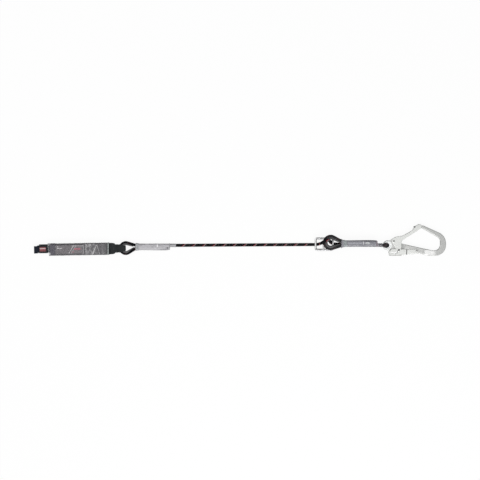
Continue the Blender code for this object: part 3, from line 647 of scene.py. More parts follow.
def makeRope(name, route, turn, body, node, shown=0.9, lift=0.0):
    points, length = smoothRoute(route, 0.0011)
    piece = tubeMesh(name, points, ropeRadius - 0.0001, 11)
    raiseBraid(piece, length, turn)
    for vert in piece.data.vertices:
        higher = clamp((vert.co.z - eyePoint.z - bight["above"]) / bight["rise"])
        swell = bight["swell"] + bight["more"] * higher
        vert.co.y += (vert.co.y - eyePoint.y) * swell * clamp((vert.co.x - bight["start"]) / bight["fade"])
    wear(piece, ropeFinish(name + "Finish", length, turn, shown, lift), body, "rope", node)
    return piece, points, length


mainStart = Vector((splice["mainStart"], splice["leg"], legHeight(splice["mainStart"])))
mainEnd = Vector((0.3022, -0.0190, ropeRadius))
mainSpan = mainEnd.x - mainStart.x
flattened = 0.065
mainRoute = [mainStart, (mainStart.x + 0.030, splice["leg"], ropeRadius + 0.0002)]
for share in (0.3, 0.55, 0.8):
    spot = mainStart.lerp(mainEnd, share)
    mainRoute.append((spot.x, spot.y, ropeRadius))
mainRoute.append(mainEnd)
ropeMain, mainPath, mainLength = makeRope("ropeMain", mainRoute, 0, "rope", "rope_main")
for vert in ropeMain.data.vertices:
    # the free run looks a little flattened where it lies
    share = (vert.co.x - mainStart.x) / mainSpan
    free = clamp(min(share, 1 - share) * 40)
    vert.co.y += (vert.co.y - between(mainStart.y, mainEnd.y, share)) * flattened * free
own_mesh(ropeMain)
print("main rope", round(mainLength, 4))


def loopRoute(spec, upper, lower, height):
    # rope down the upper leg, round the crown and back along the lower leg
    throat = spec["throat"]
    low = spec["leg"] - legPitch
    route = [(x, spec["leg"], height(x)) for x in (*upper, throat + 0.022, throat + 0.010)]
    route.append((throat, spec["leg"] + spec["round"][0], spec["z"]))
    for point, _ in crownArc(spec, loopRadius(spec), loopRadius(spec), 9):
        route.append((point.x, point.y, spec["z"]))
    route.append((throat, low - spec["round"][1], spec["z"]))
    route += [(x, low, height(x)) for x in (throat + 0.010, throat + 0.022, *lower)]
    return route


upperLeg = (splice["mainStart"] - gap, -0.3200, -0.3700)
eyeRoute = loopRoute(splice, upperLeg, (-0.3700, splice["tail"]), legHeight)
makeRope("ropeEye", eyeRoute, 3, "rope", "rope_eye", 0.12, -0.003)

tailY = -0.0172
tailZ = 0.0077
tailEnd = 0.4800
runRoute = [
    (0.3025, -0.0190, 0.0060), (0.3068, -0.0190, 0.0060), (0.3108, -0.0188, 0.0064),
    (0.3162, -0.0182, 0.0088), (0.3230, -0.0166, 0.0155), (0.3295, -0.0142, 0.0250),
    (0.3316, -0.0130, 0.0310), (0.3344, -0.0112, 0.0376), (0.3396, -0.0078, 0.0418),
    (0.3460, -0.0042, 0.0435), (0.3520, -0.0016, 0.0436), (0.3585, -0.0020, 0.0438),
    (0.3630, -0.0027, 0.0436), (0.3668, -0.0045, 0.0410), (0.3686, -0.0062, 0.0350),
    (0.3691, -0.0073, 0.0280), (0.3690, -0.0082, 0.0210), (0.3688, -0.0091, 0.0150),
    (0.3706, -0.0106, 0.0101), (0.3742, -0.0124, 0.0070), (0.3805, -0.0146, 0.0060),
    (0.3920, -0.0166, 0.0060), (0.4300, tailY, 0.0060), (0.4580, tailY, tailZ), (0.4690, tailY, tailZ),
    (tailEnd, tailY, tailZ),
]
makeRope("ropeRun", runRoute, 10, "adjuster", "rope_adjuster_run")

lowLeg = link["leg"] - legPitch
linkRoute = loopRoute(link, (link["tail"], 0.5100, 0.4700), (0.4700, 0.5200, 0.5600), linkHeight)
linkRoute.append((0.5810, eyePoint.y + 0.0003, linkHeight(0.5810)))
for part in range(7):
    # round the ring, in the tilted hook's own plane
    angle = pi / 2 - pi * part / 6
    x = bendX - eyePoint.x + legRise * cos(angle)
    z = legRise * sin(angle)
    linkRoute.append((eyePoint.x + x * cos(hookTilt) + z * sin(hookTilt), eyePoint.y,
                      eyePoint.z - x * sin(hookTilt) + z * cos(hookTilt)))
for x in (0.5740, 0.5400, link["return"]):
    linkRoute.append((x, eyePoint.y, eyePoint.z - legRise))
makeRope("linkRope", linkRoute, 1, "adjuster", "link_rope", 0.12, 0.020)
print("ropes made")


# thimbles and sleeves

thimble = {"thin": 0.0011, "legWall": 0.0016, "lip": 0.0005, "tipGap": 0.0008}
thimbleFinish = plasticFinish("thimbleFinish", (0.032, 0.032, 0.034), (0.066, 0.066, 0.069), 0.42)


def makeThimble(name, spec, body, node, edge):
    # a channel bent round the eye, a rounded flange on each side of the rope, its legs thinner
    thin = thimble["thin"]
    half = ropeRadius + gap + thin
    wall = spec["wall"]
    flange = wall + edge
    inset = wall - thimble["legWall"]
    lip = thimble["lip"]
    section = [
        (0.0, 0.0014 - half), (0.0004, 0.0005 - half), (0.0013, -half), (flange - lip, -half),
        (flange, lip - half), (flange - 0.0002, thin - half), (wall + 0.0012, thin - half),
        (wall + 0.0003, thin + 0.0004 - half), (wall, thin + 0.0012 - half),
    ]
    section += [(across, -up) for across, up in reversed(section)]
    crown = crownArc(spec, loopRadius(spec), spec["eye"], 72)
    middle = spec["leg"] - legPitch / 2
    (first, up), (last, down) = crown[0], crown[-1]
    runUp = (first.y + inset * up.y - middle - thimble["tipGap"]) / up.x
    runDown = (middle - thimble["tipGap"] - last.y - inset * down.y) / down.x
    upperLeg = []
    lowerLeg = []
    for part in range(1, 13):
        share = part / 12
        upperLeg.insert(0, (first + Vector((up.y, -up.x)) * runUp * share, up, share))
        lowerLeg.append((last + Vector((-down.y, down.x)) * runDown * share, down, share))
    rows = []
    for spot, outward, share in upperLeg + [(*item, 0.0) for item in crown] + lowerLeg:
        row = []
        for across, rise in section:
            if across > wall:
                across = between(across, min(across, wall + thin), share)
            elif across < wall:
                across += inset * share
            row.append((*(spot + outward * across), spec["z"] + rise))
        rows.append(row)
    bm, _ = sweepRows(rows, caps=True)
    wear(meshObject(name, bm, None, 50), thimbleFinish, body, "thimble_plastic", node)


makeThimble("thimbleFirst", splice, "rope", "rope_thimble", 0.0045)
makeThimble("thimbleLink", link, "adjuster", "link_thimble", 0.0040)

sleeve = {"wall": 0.0009, "shell": 0.8, "points": 44, "wrinkle": 0.00016, "uneven": 0.00012}

# each mark: left, right, low, high, colour, strength, how much clearer the film is there
sleeveFirst = filmFinish("sleeveFirstFinish", (0.66, 0.65, 0.68), (0.40, 0.39, 0.41), 0.70, (
    (-0.3425, -0.3365, -0.0300, -0.0175, (0.92, 0.92, 0.93), 0.85, -0.2),
    (-0.4270, -0.4160, -0.0480, -0.0100, (0.30, 0.33, 0.34), 0.7, 0.0),
    (-0.3010, -0.2950, -0.0400, -0.0285, (0.10, 0.10, 0.11), 0.8, 0.0),
    # painted shade along the sleeve's lower side
    (-0.3310, -0.3010, -0.0420, -0.0370, (0.20, 0.20, 0.22), 0.6, 0.0),
    (-0.2930, -0.2600, -0.0420, -0.0150, (0.38, 0.38, 0.39), 0.6, 0.15),
))
sleeveLink = filmFinish("sleeveLinkFinish", (0.37, 0.37, 0.40), (0.22, 0.22, 0.25), 0.66, (
    (0.4210, 0.4370, -0.0300, 0.0020, (0.36, 0.40, 0.40), 0.8, 0.0),
    (0.4400, 0.5000, -0.0165, -0.0115, (0.56, 0.57, 0.62), 0.5, -0.1),
    (0.5015, 0.5055, -0.0190, -0.0060, (0.90, 0.90, 0.91), 0.85, -0.2),
    (0.5110, 0.5290, -0.0180, -0.0090, (0.70, 0.72, 0.72), 0.7, -0.1),
    # painted shade along the sleeve's upper side, the film clearer there
    (0.4940, 0.5560, -0.0068, -0.0036, (0.05, 0.045, 0.055), 0.85, 0.1),
    # painted shade along the sleeve's lower side, the film clearer there
    (0.5000, 0.5500, -0.0290, -0.0255, (0.08, 0.07, 0.08), 0.6, 0.1),
    (0.5550, 0.5620, -0.0300, 0.0000, (0.22, 0.12, 0.15), 0.5, 0.0),
    (0.5660, 0.5850, -0.0300, -0.0100, (0.14, 0.13, 0.14), 0.8, 0.2),
))


def makeSleeve(name, stations, height, finish, body, node):
    # clear film shrunk over two legs side by side, or over one past the other's end, with crinkles
    radius = ropeRadius + gap + sleeve["wall"]
    path, _ = smoothRoute(stations, 0.0013)
    rows = []
    for index, (x, upper, lower) in enumerate(path):
        lift = 0.0 if index in (0, len(path) - 1) else random.uniform(-sleeve["uneven"], sleeve["uneven"])
        row = []
        for k in range(sleeve["points"]):
            angle = 2 * pi * k / sleeve["points"]
            base = upper if sin(angle) > 0 else lower
            wrinkle = sleeve["wrinkle"] * sin(x * 900 + 2.5 * sin(angle * 2)) * sin(x * 310 + angle)
            reach = radius + wrinkle + lift
            row.append((x, base + reach * sin(angle), height(x) + reach * cos(angle)))
        rows.append(row)
    bm, _ = sweepRows(rows)
    piece = meshObject(name, bm)
    addWall(piece, sleeve["wall"] * sleeve["shell"], -1)
    applyModifiers(piece)
    smooth(piece, 60)
    wear(piece, finish, body, "clear_sleeve", node)


leg = splice["leg"]
low = leg - legPitch
throat = splice["throat"]
makeSleeve("sleeveFirst", [
    (throat + 0.0008, leg + 0.0026, low - 0.0026), (throat + 0.0150, leg + 0.0010, low - 0.0010),
    (throat + 0.0230, leg, low), (splice["tail"] + 0.0012, leg, low),
    (splice["tail"] + 0.0080, leg, leg - 0.0012), (splice["sleeveEnd"], leg, leg - 0.0006),
], legHeight, sleeveFirst, "rope", "rope_sleeve")
leg = link["leg"]
throat = link["throat"]
makeSleeve("sleeveLink", [
    (throat - 0.0054, leg + 0.0068, lowLeg - 0.0068), (throat - 0.0040, leg + 0.0046, lowLeg - 0.0046),
    (throat + 0.0008, leg + 0.0022, lowLeg - 0.0022), (throat + 0.0100, leg + 0.0006, lowLeg - 0.0006),
    (throat + 0.0230, leg, lowLeg), (link["tail"] + 0.0012, leg, lowLeg),
    (link["tail"] + 0.0080, lowLeg + 0.0012, lowLeg), (link["sleeveEnd"], lowLeg + 0.0003, lowLeg - 0.0009),
], linkHeight, sleeveLink, "adjuster", "link_sleeve")
print("thimbles and sleeves made")


# energy absorber, in its own space at the first thimble's crown

absorberSpace = Matrix.Translation((*splice["crown"], splice["z"])) @ Matrix.Rotation(radians(0.9), 4, "Z")
pack = {
    "right": -0.0689, "length": 0.2497, "width": 0.0525, "height": 0.0270, "y": -0.0010, "folds": 7,
    "pitch": 0.0033, "thick": 0.0026, "foldWidth": 0.0450, "strap": 0.0455, "neck": 0.0335,
    "eyeStrap": 0.0205,
}
pack["z"] = pack["height"] / 2 - splice["z"]
pack["webZ"] = pack["z"] - 0.0009
pack["left"] = pack["right"] - pack["length"]
webLeft = pack["left"] + 0.0110
webRight = pack["right"] - 0.0262
navy = ((0.008, 0.010, 0.017), (0.021, 0.025, 0.039))
black = ((0.012, 0.014, 0.015), (0.038, 0.041, 0.043))


def crossSection(y, z, width, height, radius):
    # rounded rectangle of (y, z) points, evenly enough spaced to crinkle
    outline = []
    corners = ((1, 1, 0), (-1, 1, 90), (-1, -1, 180), (1, -1, 270))
    for index, (sideY, sideZ, start) in enumerate(corners):
        centre = Vector((y + sideY * (width / 2 - radius), z + sideZ * (height / 2 - radius)))
        for part in range(7):
            outline.append(centre + heading(radians(start + 15 * part)) * radius)
        after = corners[(index + 1) % 4]
        ahead = Vector((y + after[0] * (width / 2 - radius), z + after[1] * (height / 2 - radius)))
        ahead += heading(radians(start + 90)) * radius
        count = 14 if sideZ == after[1] else 5
        last = outline[-1].copy()
        outline += [last.lerp(ahead, part / count) for part in range(1, count)]
    return outline


cover = {"film": 0.0007, "inset": 0.0006, "corner": 0.0042, "lip": 0.00045, "lipLength": 0.0035,
         "calm": 0.012, "crease": 0.00035, "sink": 0.0002, "most": 0.0005, "slant": 0.0050}

# places along X with their slopes or half widths; the edges, painted shade lines, lie beside the cover's
# middle line
coverLook = {
    "lean": 0.0157, "glare": (-0.612, 26.0), "pale": (-0.5600, 48.0), "dusk": (-0.7680, 0.0140, 160.0),
    "lips": ((-0.7860, 0.11, 0.0017), (-0.5402, 0.0, 0.0016)), "lipY": -0.0360,
    # glintLines: painted highlights on the crinkled film
    "glintLines": ((-0.5871, -0.43, 0.0016), (-0.5865, 0.31, 0.0013)), "glintY": -0.0196,
    "upright": (-0.6306, 0.0010), "edges": ((0.0208, 0.0019), (-0.0256, 0.0016)),
}


def coverFinish():
    # clear film: hazy along its creases and brighter under a painted glare, with painted highlights in
    # slanted strokes, a pale upright line, painted shade lines along its upper and lower sides and milky lips
    look = coverLook
    net = Net("coverFinish")
    fold = net.noise(0.020, 5.0, 0.6, (1.6, 0.7, 1.0))
    fine = net.noise(0.0055, 4.0, 0.65, (0.6, 1.2, 1.0))
    ridge = (1.0 - abs(fold - 0.5) * 9.0).clipped()
    spark = (1.0 - abs(fine - 0.5) * 12.0).clipped()
    x, y, _ = net.axes()
    side = (y - splice["crown"].y) - (x - splice["crown"].x) * look["lean"]
    glare, pale = [(1.0 - abs(x - place) * slope).clipped() for place, slope in (look["glare"], look["pale"])]
    lips = [(x + (y - look["lipY"]) * lean).near(place, half) for place, lean, half in look["lips"]]
    lip = lips[0].most(lips[1])
    # painted highlights in two slanted strokes on the film's creases
    glintLines = [(x + (y - look["glintY"]) * lean).near(place, half) for place, lean, half in look["glintLines"]]
    glint = glintLines[0].most(glintLines[1]) * (side < 0.016)
    upright = x.near(*look["upright"]) * (side < 0.018) * (side > -0.024)
    bright = (glint * (fine * 1.6 - 0.2).clipped()).most(upright * 0.8)
    haze = (ridge * 0.20 + spark * 0.10) * (glare * 0.9 + 0.3) + glare * 0.09 + bright * 0.38
    haze = haze + pale * (1.0 - lip) * 0.14
    # painted shade lines along the cover's upper and lower sides
    upper, lower = [side.near(*edge) for edge in look["edges"]]
    edge = upper.most(lower) * (1.0 - lip)
    place, half, slope = look["dusk"]
    dusk = abs(x - place).below(half, slope) * 0.36
    tint = net.mix((haze * 2.2).clipped(), (0.22, 0.21, 0.23), (0.78, 0.77, 0.78))
    tint = net.mix(dusk * 1.6, tint, (0.085, 0.078, 0.115))
    tint = net.mix(edge * 0.9, tint, (0.035, 0.034, 0.038))
    tint = net.mix(lip, tint, (0.58, 0.64, 0.62))
    net.set(Base_Color=tint, Roughness=0.16 + fine * 0.2, Specular_IOR_Level=0.3,
            Alpha=(haze + (edge * 0.62).most(dusk) + 0.07 + lip * 0.5).clipped())
    net.bump(ridge * 0.7 + fold + fine * 0.25, 0.0012, 0.7)
    return net.material


def makeCover():
    # clear tube of film with soft creases, a doubled lip at each end
    rows = []
    count = 170
    width, height = (pack[name] - 2 * cover["inset"] for name in ("width", "height"))
    outline = crossSection(pack["y"], pack["z"], width, height, cover["corner"])
    for index in range(count + 1):
        share = index / count
        x = pack["left"] + pack["length"] * share
        edge = min(share, 1 - share) * pack["length"]
        lip = cover["lip"] if edge < cover["lipLength"] else 0.0
        row = []
        for place in outline:
            side = place - Vector((pack["y"], pack["z"]))
            flat = side.x * 95
            wave = sin(x * 130 + flat) * sin(x * 61 - flat * 1.7 + 0.6)
            wave += 0.6 * sin(x * 290 + 2.2 * sin(flat * 1.4))
            outward = Vector((side.x * (pack["height"] / pack["width"]) ** 2, side.y)).normalized()
            reach = lip + min(edge / cover["calm"], 1.0) * (cover["crease"] * wave - cover["sink"])
            spot = place + outward * min(reach, cover["most"])
            slant = max(0.0, 1 - share * 5) * (0.5 - side.x / pack["width"]) * cover["slant"]
            row.append((x + slant, *spot))
        rows.append(row)
    bm, _ = sweepRows(rows)
    piece = meshObject("packCover", bm, absorberSpace)
    addWall(piece, cover["film"], -1)
    applyModifiers(piece)
    piece.data.shade_smooth()
    wear(piece, coverFinish(), "absorber", "clear_cover", "absorber_cover")


makeCover()


def makeFolds():
    # the tear webbing, to and fro in one strap, evenly spaced so that its bends stay inside the cover
    bend = pack["pitch"] / 2
    left = webLeft + bend + pack["thick"] / 2
    right = webRight - bend - pack["thick"] / 2
    base = pack["webZ"] - pack["pitch"] * (pack["folds"] - 1) / 2
    steps = 160
    line = []
    for fold in range(pack["folds"]):
        turnX, backX, side = (left, right, -1) if fold % 2 == 0 else (right, left, 1)
        height = base + pack["pitch"] * fold
        line += [(between(backX, turnX, part / steps), height) for part in range(1, steps)]
        if fold < pack["folds"] - 1:
            for part in range(7):
                angle = -pi / 2 + pi * part / 6
                line.append((turnX + side * bend * cos(angle), height + bend + bend * sin(angle)))
    stations = [(x, z, pack["foldWidth"], pack["y"]) for x, z in line]
    piece = strapMesh("tearWebbing", stations, pack["thick"], absorberSpace, 0.0011)
    wear(piece, webFinish("tearFinish", (0.045, 0.044, 0.048), (0.115, 0.110, 0.118)), "absorber",
         "navy_webbing", "tear_webbing")


makeFolds()

# each printed block: left, right, low and high as shares of the card
card = {
    "length": 0.1150, "width": 0.0350, "thick": 0.0005, "x": -0.2288, "drop": 0.0014, "curl": 0.00012,
    "ticks": (0.575, 0.985, 0.875, 0.965), "bar": (0.05, 0.24, 0.61, 0.70),
    "dashes": (0.045, 0.11, 0.72, 0.88), "lines": (0.62, 0.95, 0.10, 0.36),
    "rightRim": (0.985, 1.0, 0.0, 1.0), "leftRim": (0.0, 0.006, 0.0, 1.0),
    "red": (0.655, 0.885, 0.46, 0.67), "smallRed": (0.575, 0.66, 0.14, 0.26),
}


def cardFinish():
    # generic bars, dashes and slanted bands on grey, with a red block
    net = Net("labelFinish")
    u, v, _ = net.axes("UV")

    def block(name):
        left, right, low, high = card[name]
        return (u > left) * (u < right) * (v > low) * (v < high)

    paper = net.noise(0.012, 4.0, 0.6)
    fleck = net.noise(0.0016, 2.0, 0.6)
    colour = net.mix((paper * 0.7 + fleck * 0.3).clipped(), (0.120, 0.109, 0.117), (0.220, 0.202, 0.212))
    slope = u * 4.2 - v * 0.75 - 1.95
    pale = slope.near(0.0, 0.045).most(slope.near(0.35, 0.03))
    pale = pale.most(((u * 95.0).wrapped() > 0.35) * block("ticks"))
    pale = pale.most(block("bar")).most(((u * 120.0).wrapped() > 0.4) * block("dashes"))
    pale = pale.most(block("rightRim")).most(block("leftRim") * 0.5)
    pale = pale.most(((v * 16.0).wrapped() > 0.62) * ((u * 70.0).wrapped() > 0.3) * block("lines") * 0.35)
    colour = net.mix((pale * (fleck * 0.5 + 0.50)).clipped(), colour, (0.80, 0.78, 0.79))
    red = block("red").most(block("smallRed") * 0.6)
    colour = net.mix(red * (fleck * 0.3 + 0.65), colour, (0.56, 0.13, 0.18))
    net.set(Base_Color=colour, Roughness=0.5 + fleck * 0.15)
    return net.material


def makeLabel():
    # printed card, a little curled
    top = pack["webZ"] + pack["pitch"] * (pack["folds"] - 1) / 2 + pack["thick"] / 2 + gap
    middle = Vector((card["x"], pack["y"] - card["drop"], top + card["thick"] / 2))
    bm = bmesh.new()
    bmesh.ops.create_grid(bm, x_segments=24, y_segments=8, size=0.5)
    giveUv(bm, lambda vert: (vert.co.x + 0.5, vert.co.y + 0.5))
    for vert in bm.verts:
        curl = card["curl"] * cos(vert.co.x * 9) * cos(vert.co.y * 5)
        vert.co = middle + Vector((vert.co.x * card["length"], vert.co.y * card["width"], curl - 0.0001))
    piece = bareObject("packLabel", bm)
    piece.data.transform(absorberSpace)
    addWall(piece, 0.0003, 0.0)
    applyModifiers(piece)
    wear(piece, cardFinish(), "absorber", "label_card", "pack_label")


makeLabel()


def mirrored(half):
    # (x, z, width, y) stations out below and back above, from (x, middle, rise, width, y) ones
    lower = [(x, middle - rise, width, y) for x, middle, rise, width, y in half]
    upper = [(x, middle + rise, width, y) for x, middle, rise, width, y in reversed(half)]
    return lower, upper


harness = {"thick": 0.0030, "width": 0.0300, "reach": 0.0575, "opening": 0.0140}
keeper = {"length": 0.0352, "width": 0.0365, "wall": 0.0016, "shift": 0.0035, "puff": 0.0003, "ease": 0.0002,
          "rim": 0.0004, "steps": 26}
tag = {"length": 0.0256, "width": 0.0184, "thick": 0.0008, "in": 0.0026, "down": 0.0114}
loopLayer = harness["thick"] / 2 + gap / 2
keeperEnd = pack["left"] - 0.0010
keeperStart = keeperEnd - keeper["length"]
loopY = pack["y"] - 0.0005
keeperY = pack["y"] + keeper["shift"]
keeperRoom = 2 * (loopLayer + harness["thick"] / 2 + gap)
keeperTop = pack["z"] + keeperRoom / 2 + keeper["wall"] + gap


def makeHarnessLoop():
    bend = harness["opening"] / 2 + harness["thick"] / 2
    bendAt = pack["left"] - harness["reach"] + harness["thick"] / 2 + bend
    middle, width = pack["z"], harness["width"]
    lower, upper = mirrored([
        (webLeft - 0.0005, middle, loopLayer, width, loopY + 0.0030),
        (keeperStart - 0.0016, middle, loopLayer, width, loopY + 0.0030),
        (keeperStart - 0.0055, middle, between(loopLayer, bend, 0.55), width, loopY + 0.0013),
        (bendAt, middle, bend, width, loopY),
    ])
    turn = []
    for part in range(1, 8):
        angle = -pi / 2 - pi * part / 8
        turn.append((bendAt + bend * cos(angle), middle + bend * sin(angle), width, loopY))
    piece = strapMesh("harnessLoop", lower + turn + upper, harness["thick"], absorberSpace)
    wear(piece, webFinish("harnessFinish", *navy), "absorber", "navy_webbing", "harness_loop")


makeHarnessLoop()


def keeperFinish():
    net = Net("keeperFinish")
    x, y, _ = net.axes()
    ribs = woven(y, 2 * pi / 0.0021, x, 2 * pi / 0.0026)
    worn = net.noise(0.012, 4.0, 0.6)
    colour = net.mix((ribs * 0.5 + worn * 0.5).clipped(), (0.009, 0.011, 0.012), (0.029, 0.031, 0.033))
    net.set(Base_Color=colour, Roughness=0.86 + worn * 0.1, Specular_IOR_Level=0.15)
    net.bump(ribs, 0.0005, 0.8)
    return net.material


def makeKeeper():
    # webbing wrapped round both layers, a little puffed between its stitched ends
    wall = keeper["wall"]
    inside = crossSection(keeperY, pack["z"], keeper["width"] - 2 * wall, keeperRoom, 0.0010)
    outer = []
    inner = []
    for index in range(keeper["steps"] + 1):
        share = index / keeper["steps"]
        x = between(keeperStart, keeperEnd, share)
        puff = keeper["puff"] * sin(pi * share) - keeper["ease"]
        if index in (0, keeper["steps"]):
            puff -= keeper["rim"]
        height = keeperRoom + 2 * wall + puff
        outline = crossSection(keeperY, pack["z"], keeper["width"] + puff, height, 0.0022)
        outer.append([(x, *place) for place in outline])
        inner.append([(x, *place) for place in inside])
    bm, _ = sweepRows(outer + inner[::-1] + [outer[0]])
    piece = meshObject("keeper", bm, absorberSpace, 55)
    wear(piece, keeperFinish(), "absorber", "black_webbing", "harness_loop_keeper")


makeKeeper()


def tagFinish():
    # red cloth with a pale stripe, sewn along its rim
    net = Net("tagFinish")
    u, v, _ = net.axes("UV")
    worn = net.noise(0.004, 3.0, 0.6)
    colour = net.mix(worn, (0.20, 0.040, 0.048), (0.31, 0.085, 0.095))
    colour = net.mix((v < 0.30) * 0.8, colour, (0.15, 0.050, 0.055))
    stripe = (v > 0.56) * (v < 0.75) * (u < 0.93)
    colour = net.mix(stripe * (worn * 0.4 + 0.6), colour, (0.62, 0.57, 0.56))
    seam = (abs(u - 0.5) > 0.46).most(v > 0.86).most(v < 0.04)
    colour = net.mix(seam * 0.7, colour, (0.13, 0.06, 0.065))
    net.set(Base_Color=colour, Roughness=0.75 + worn * 0.1)
    net.bump(woven(u, 250.0, v, 180.0), 0.0002, 0.6)
    return net.material


def makeTag():
    corner = Vector((keeperStart + tag["in"], keeperY - tag["down"], keeperTop))
    bm = bmesh.new()
    bmesh.ops.create_cube(bm, size=1.0)
    bmesh.ops.subdivide_edges(bm, edges=bm.edges, cuts=5, use_grid_fill=True)
    giveUv(bm, lambda vert: (vert.co.x + 0.5, vert.co.y + 0.5))
    for vert in bm.verts:
        sag = 0.0001 * sin(vert.co.x * 7) * sin(vert.co.y * 5)
        share = vert.co + Vector((0.5, 0.5, 0.5))
        height = share.z * tag["thick"] + sag
        vert.co = corner + Vector((share.x * tag["length"], share.y * tag["width"], height))
    piece = bareObject("keeperTag", bm)
    piece.data.transform(absorberSpace)
    addBevel(piece, 0.00025, 2, 50)
    applyModifiers(piece)
    wear(piece, tagFinish(), "absorber", "tag_cloth", "keeper_tag")


makeTag()


def makeLanyardLoop():
    # strap from the folds round the first thimble and back, narrowed at the neck and at the eye
    layer = pack["thick"] / 2 + gap
    over = ropeRadius + gap + thimble["thin"] + 0.0004 + pack["thick"] / 2
    y, web, strap, neck, eye = (pack[name] for name in ("y", "webZ", "strap", "neck", "eyeStrap"))
    lower, upper = mirrored([
        (webRight + 0.0005, web, layer, strap, y), (pack["right"] - 0.0010, web, layer, strap, y),
        (-0.0491, 0.0002, layer, strap, y), (-0.0426, 0.0, layer + 0.0003, neck + 0.0010, y),
        (-0.0371, 0.0, layer + 0.0018, neck, y), (-0.0311, 0.0, over - 0.0016, neck, y),
        (-0.0261, 0.0, over, neck, y), (-0.0146, 0.0, over, neck - 0.0020, y),
        (-0.0066, 0.0, over, eye + 0.0020, 0.0), (-0.0033, 0.0, over - 0.0008, eye, 0.0),
        (-0.0015, 0.0, over - 0.0033, eye, 0.0),
    ])
    piece = strapMesh("lanyardLoop", lower + upper, pack["thick"], absorberSpace, 0.0013, 0.0012)
    wear(piece, webFinish("loopFinish", *black), "absorber", "black_webbing", "lanyard_loop")


makeLanyardLoop()

stitch = {"pitch": 0.0034, "half": 0.00135, "radius": 0.00045}


def makeStitches(name, lines, tint):
    # rows of short raised stitches along (start, end) lines
    meshes = []
    for start, end in lines:
        start = Vector(start)
        end = Vector(end)
        along = (end - start).normalized()
        turn = along.to_track_quat("X", "Z").to_matrix().to_4x4() @ Matrix.Rotation(pi / 2, 4, "Y")
        size = Matrix.Diagonal((stitch["radius"], stitch["radius"], stitch["half"], 1.0))
        count = max(1, round((end - start).length / stitch["pitch"]))
        for index in range(count):
            middle = Matrix.Translation(start.lerp(end, (index + 0.5) / count))
            bm = bmesh.new()
            bmesh.ops.create_uvsphere(bm, u_segments=8, v_segments=6, radius=1.0)
            bmesh.ops.transform(bm, matrix=middle @ turn @ size, verts=bm.verts)
            meshes.append(bm)
    net = Net(name + "Finish")
    twist = net.noise(0.0006, 2.0, 0.5)
    net.set(Base_Color=net.mix(twist, tuple(c * 0.6 for c in tint), tint), Roughness=0.7 + twist * 0.1)
    wear(meshObject(name, joined(name, meshes), absorberSpace), net.material, "absorber", "black_webbing")


neckTop = pack["thick"] + gap + 0.0001
neckLines = []
for side in (-0.0125, -0.0085, -0.0045, -0.0005, 0.0035, 0.0075, 0.0110):
    neckLines.append(((-0.0560, pack["y"] + side * 1.4, neckTop), (-0.0470, pack["y"] + side * 1.2, neckTop)))
makeStitches("neckStitches", neckLines, (0.075, 0.077, 0.082))
keeperLines = []
for x in (keeperStart + 0.0012, keeperEnd - 0.0026):
    keeperLines.append(((x, keeperY - 0.0150, keeperTop - 0.0004), (x, keeperY + 0.0150, keeperTop - 0.0004)))
makeStitches("keeperStitches", keeperLines, (0.080, 0.082, 0.088))
print("absorber made")


# adjuster frame and the tail's end cap

bars = {"left": 0.3087, "leftSpan": 0.0328, "rightSpan": 0.0385, "top": 0.0068, "bottom": -0.0406,
        "corner": 0.0075, "radius": 0.0045, "z": 0.0168, "bead": 0.0017, "beadShare": 0.28}
bars["middle"] = bars["left"] + bars["leftSpan"]
bars["right"] = bars["middle"] + bars["rightSpan"]
cap = {"mouth": 0.4620, "wall": 0.0011, "rings": (0.0040, 0.0125), "groove": 0.0004}


def circleRow(centre, radius, across=xAxis, up=yAxis, sides=24, wider=0.0):
    # points round a centre in the plane of two directions, spread along the first one
    turns = [2 * pi * k / sides for k in range(sides)]
    return [Vector(centre) + across * ((radius + wider) * cos(a)) + up * (radius * sin(a)) for a in turns]


def steelFinish():
    # bright bar, with painted shade: greyer on the lower side and black on the inner ones
    left, right, low, high = (bars[name] for name in ("left", "right", "bottom", "top"))
    net = Net("steelFinish")
    fine, cloud, colour = metalGround(net, (0.79, 0.79, 0.80), (0.92, 0.92, 0.92), 0.0009, 0.022, 0.3, 0.05)
    x, y, _ = net.axes()
    # painted shade along the lower side
    colour = net.mix(y.below(low + 0.0050, 800.0) * 0.9, colour, (0.50, 0.50, 0.51))
    outer = y.below(low - 0.0005, 700.0)
    # painted shade on the bars' inner sides, which are also made dull and not metallic there
    inX = abs(x - (left + right) / 2).below((right - left) / 2 - 0.0020, 700.0)
    inY = abs(y - (low + high) / 2).below((high - low) / 2 - 0.0005, 700.0)
    inside = inX * inY * (abs(x - bars["middle"]) > 0.0052)
    colour = net.mix(inside, colour, (0.015, 0.015, 0.015))
    net.set(Base_Color=colour, Metallic=1.0 - inside - outer * 0.8,
            Roughness=0.18 + fine * 0.12 + inside * 0.6 + outer * 0.3)
    net.bump(fine * 0.12 + cloud * 0.25, 0.0004, 0.55)
    return net.material


def makeBars():
    # round bar bent to a rectangle, its third bar welded between the long sides
    left, right, low, high = (bars[name] for name in ("left", "right", "bottom", "top"))
    corners = [(x, y, bars["corner"]) for x, y in ((left, low), (right, low), (right, high), (left, high))]
    outline = roundedOutline(corners)
    rows = []
    for index, point in enumerate(outline):
        along = (outline[(index + 1) % len(outline)] - outline[index - 1]).normalized()
        across = Vector((along.y, -along.x, 0))
        rows.append(circleRow((*point, bars["z"]), bars["radius"] - 0.00005, across, zAxis))
    ring, _ = sweepRows(rows + [rows[0]])
    piece = meshObject("adjusterFrame", ring)
    rows = []
    for part in range(41):
        share = part / 20 - 1
        edge = max(0.0, (abs(share) - 1 + bars["beadShare"]) / bars["beadShare"])
        bead = bars["bead"] * edge ** 1.5 + (0.00025 * sin(part * 2.4) if edge else 0.0)
        centre = Vector((bars["middle"], (low + high) / 2 + (high - low) / 2 * share, bars["z"]))
        rows.append(circleRow(centre, bars["radius"] - 0.0003, xAxis, zAxis, 24, bead))
    bar, _ = sweepRows(rows, caps=True)
    combine(piece, meshObject("middleBar", bar), "UNION")
    smooth(piece, 55)
    wear(piece, steelFinish(), "adjuster", "bright_steel", "adjuster_frame")


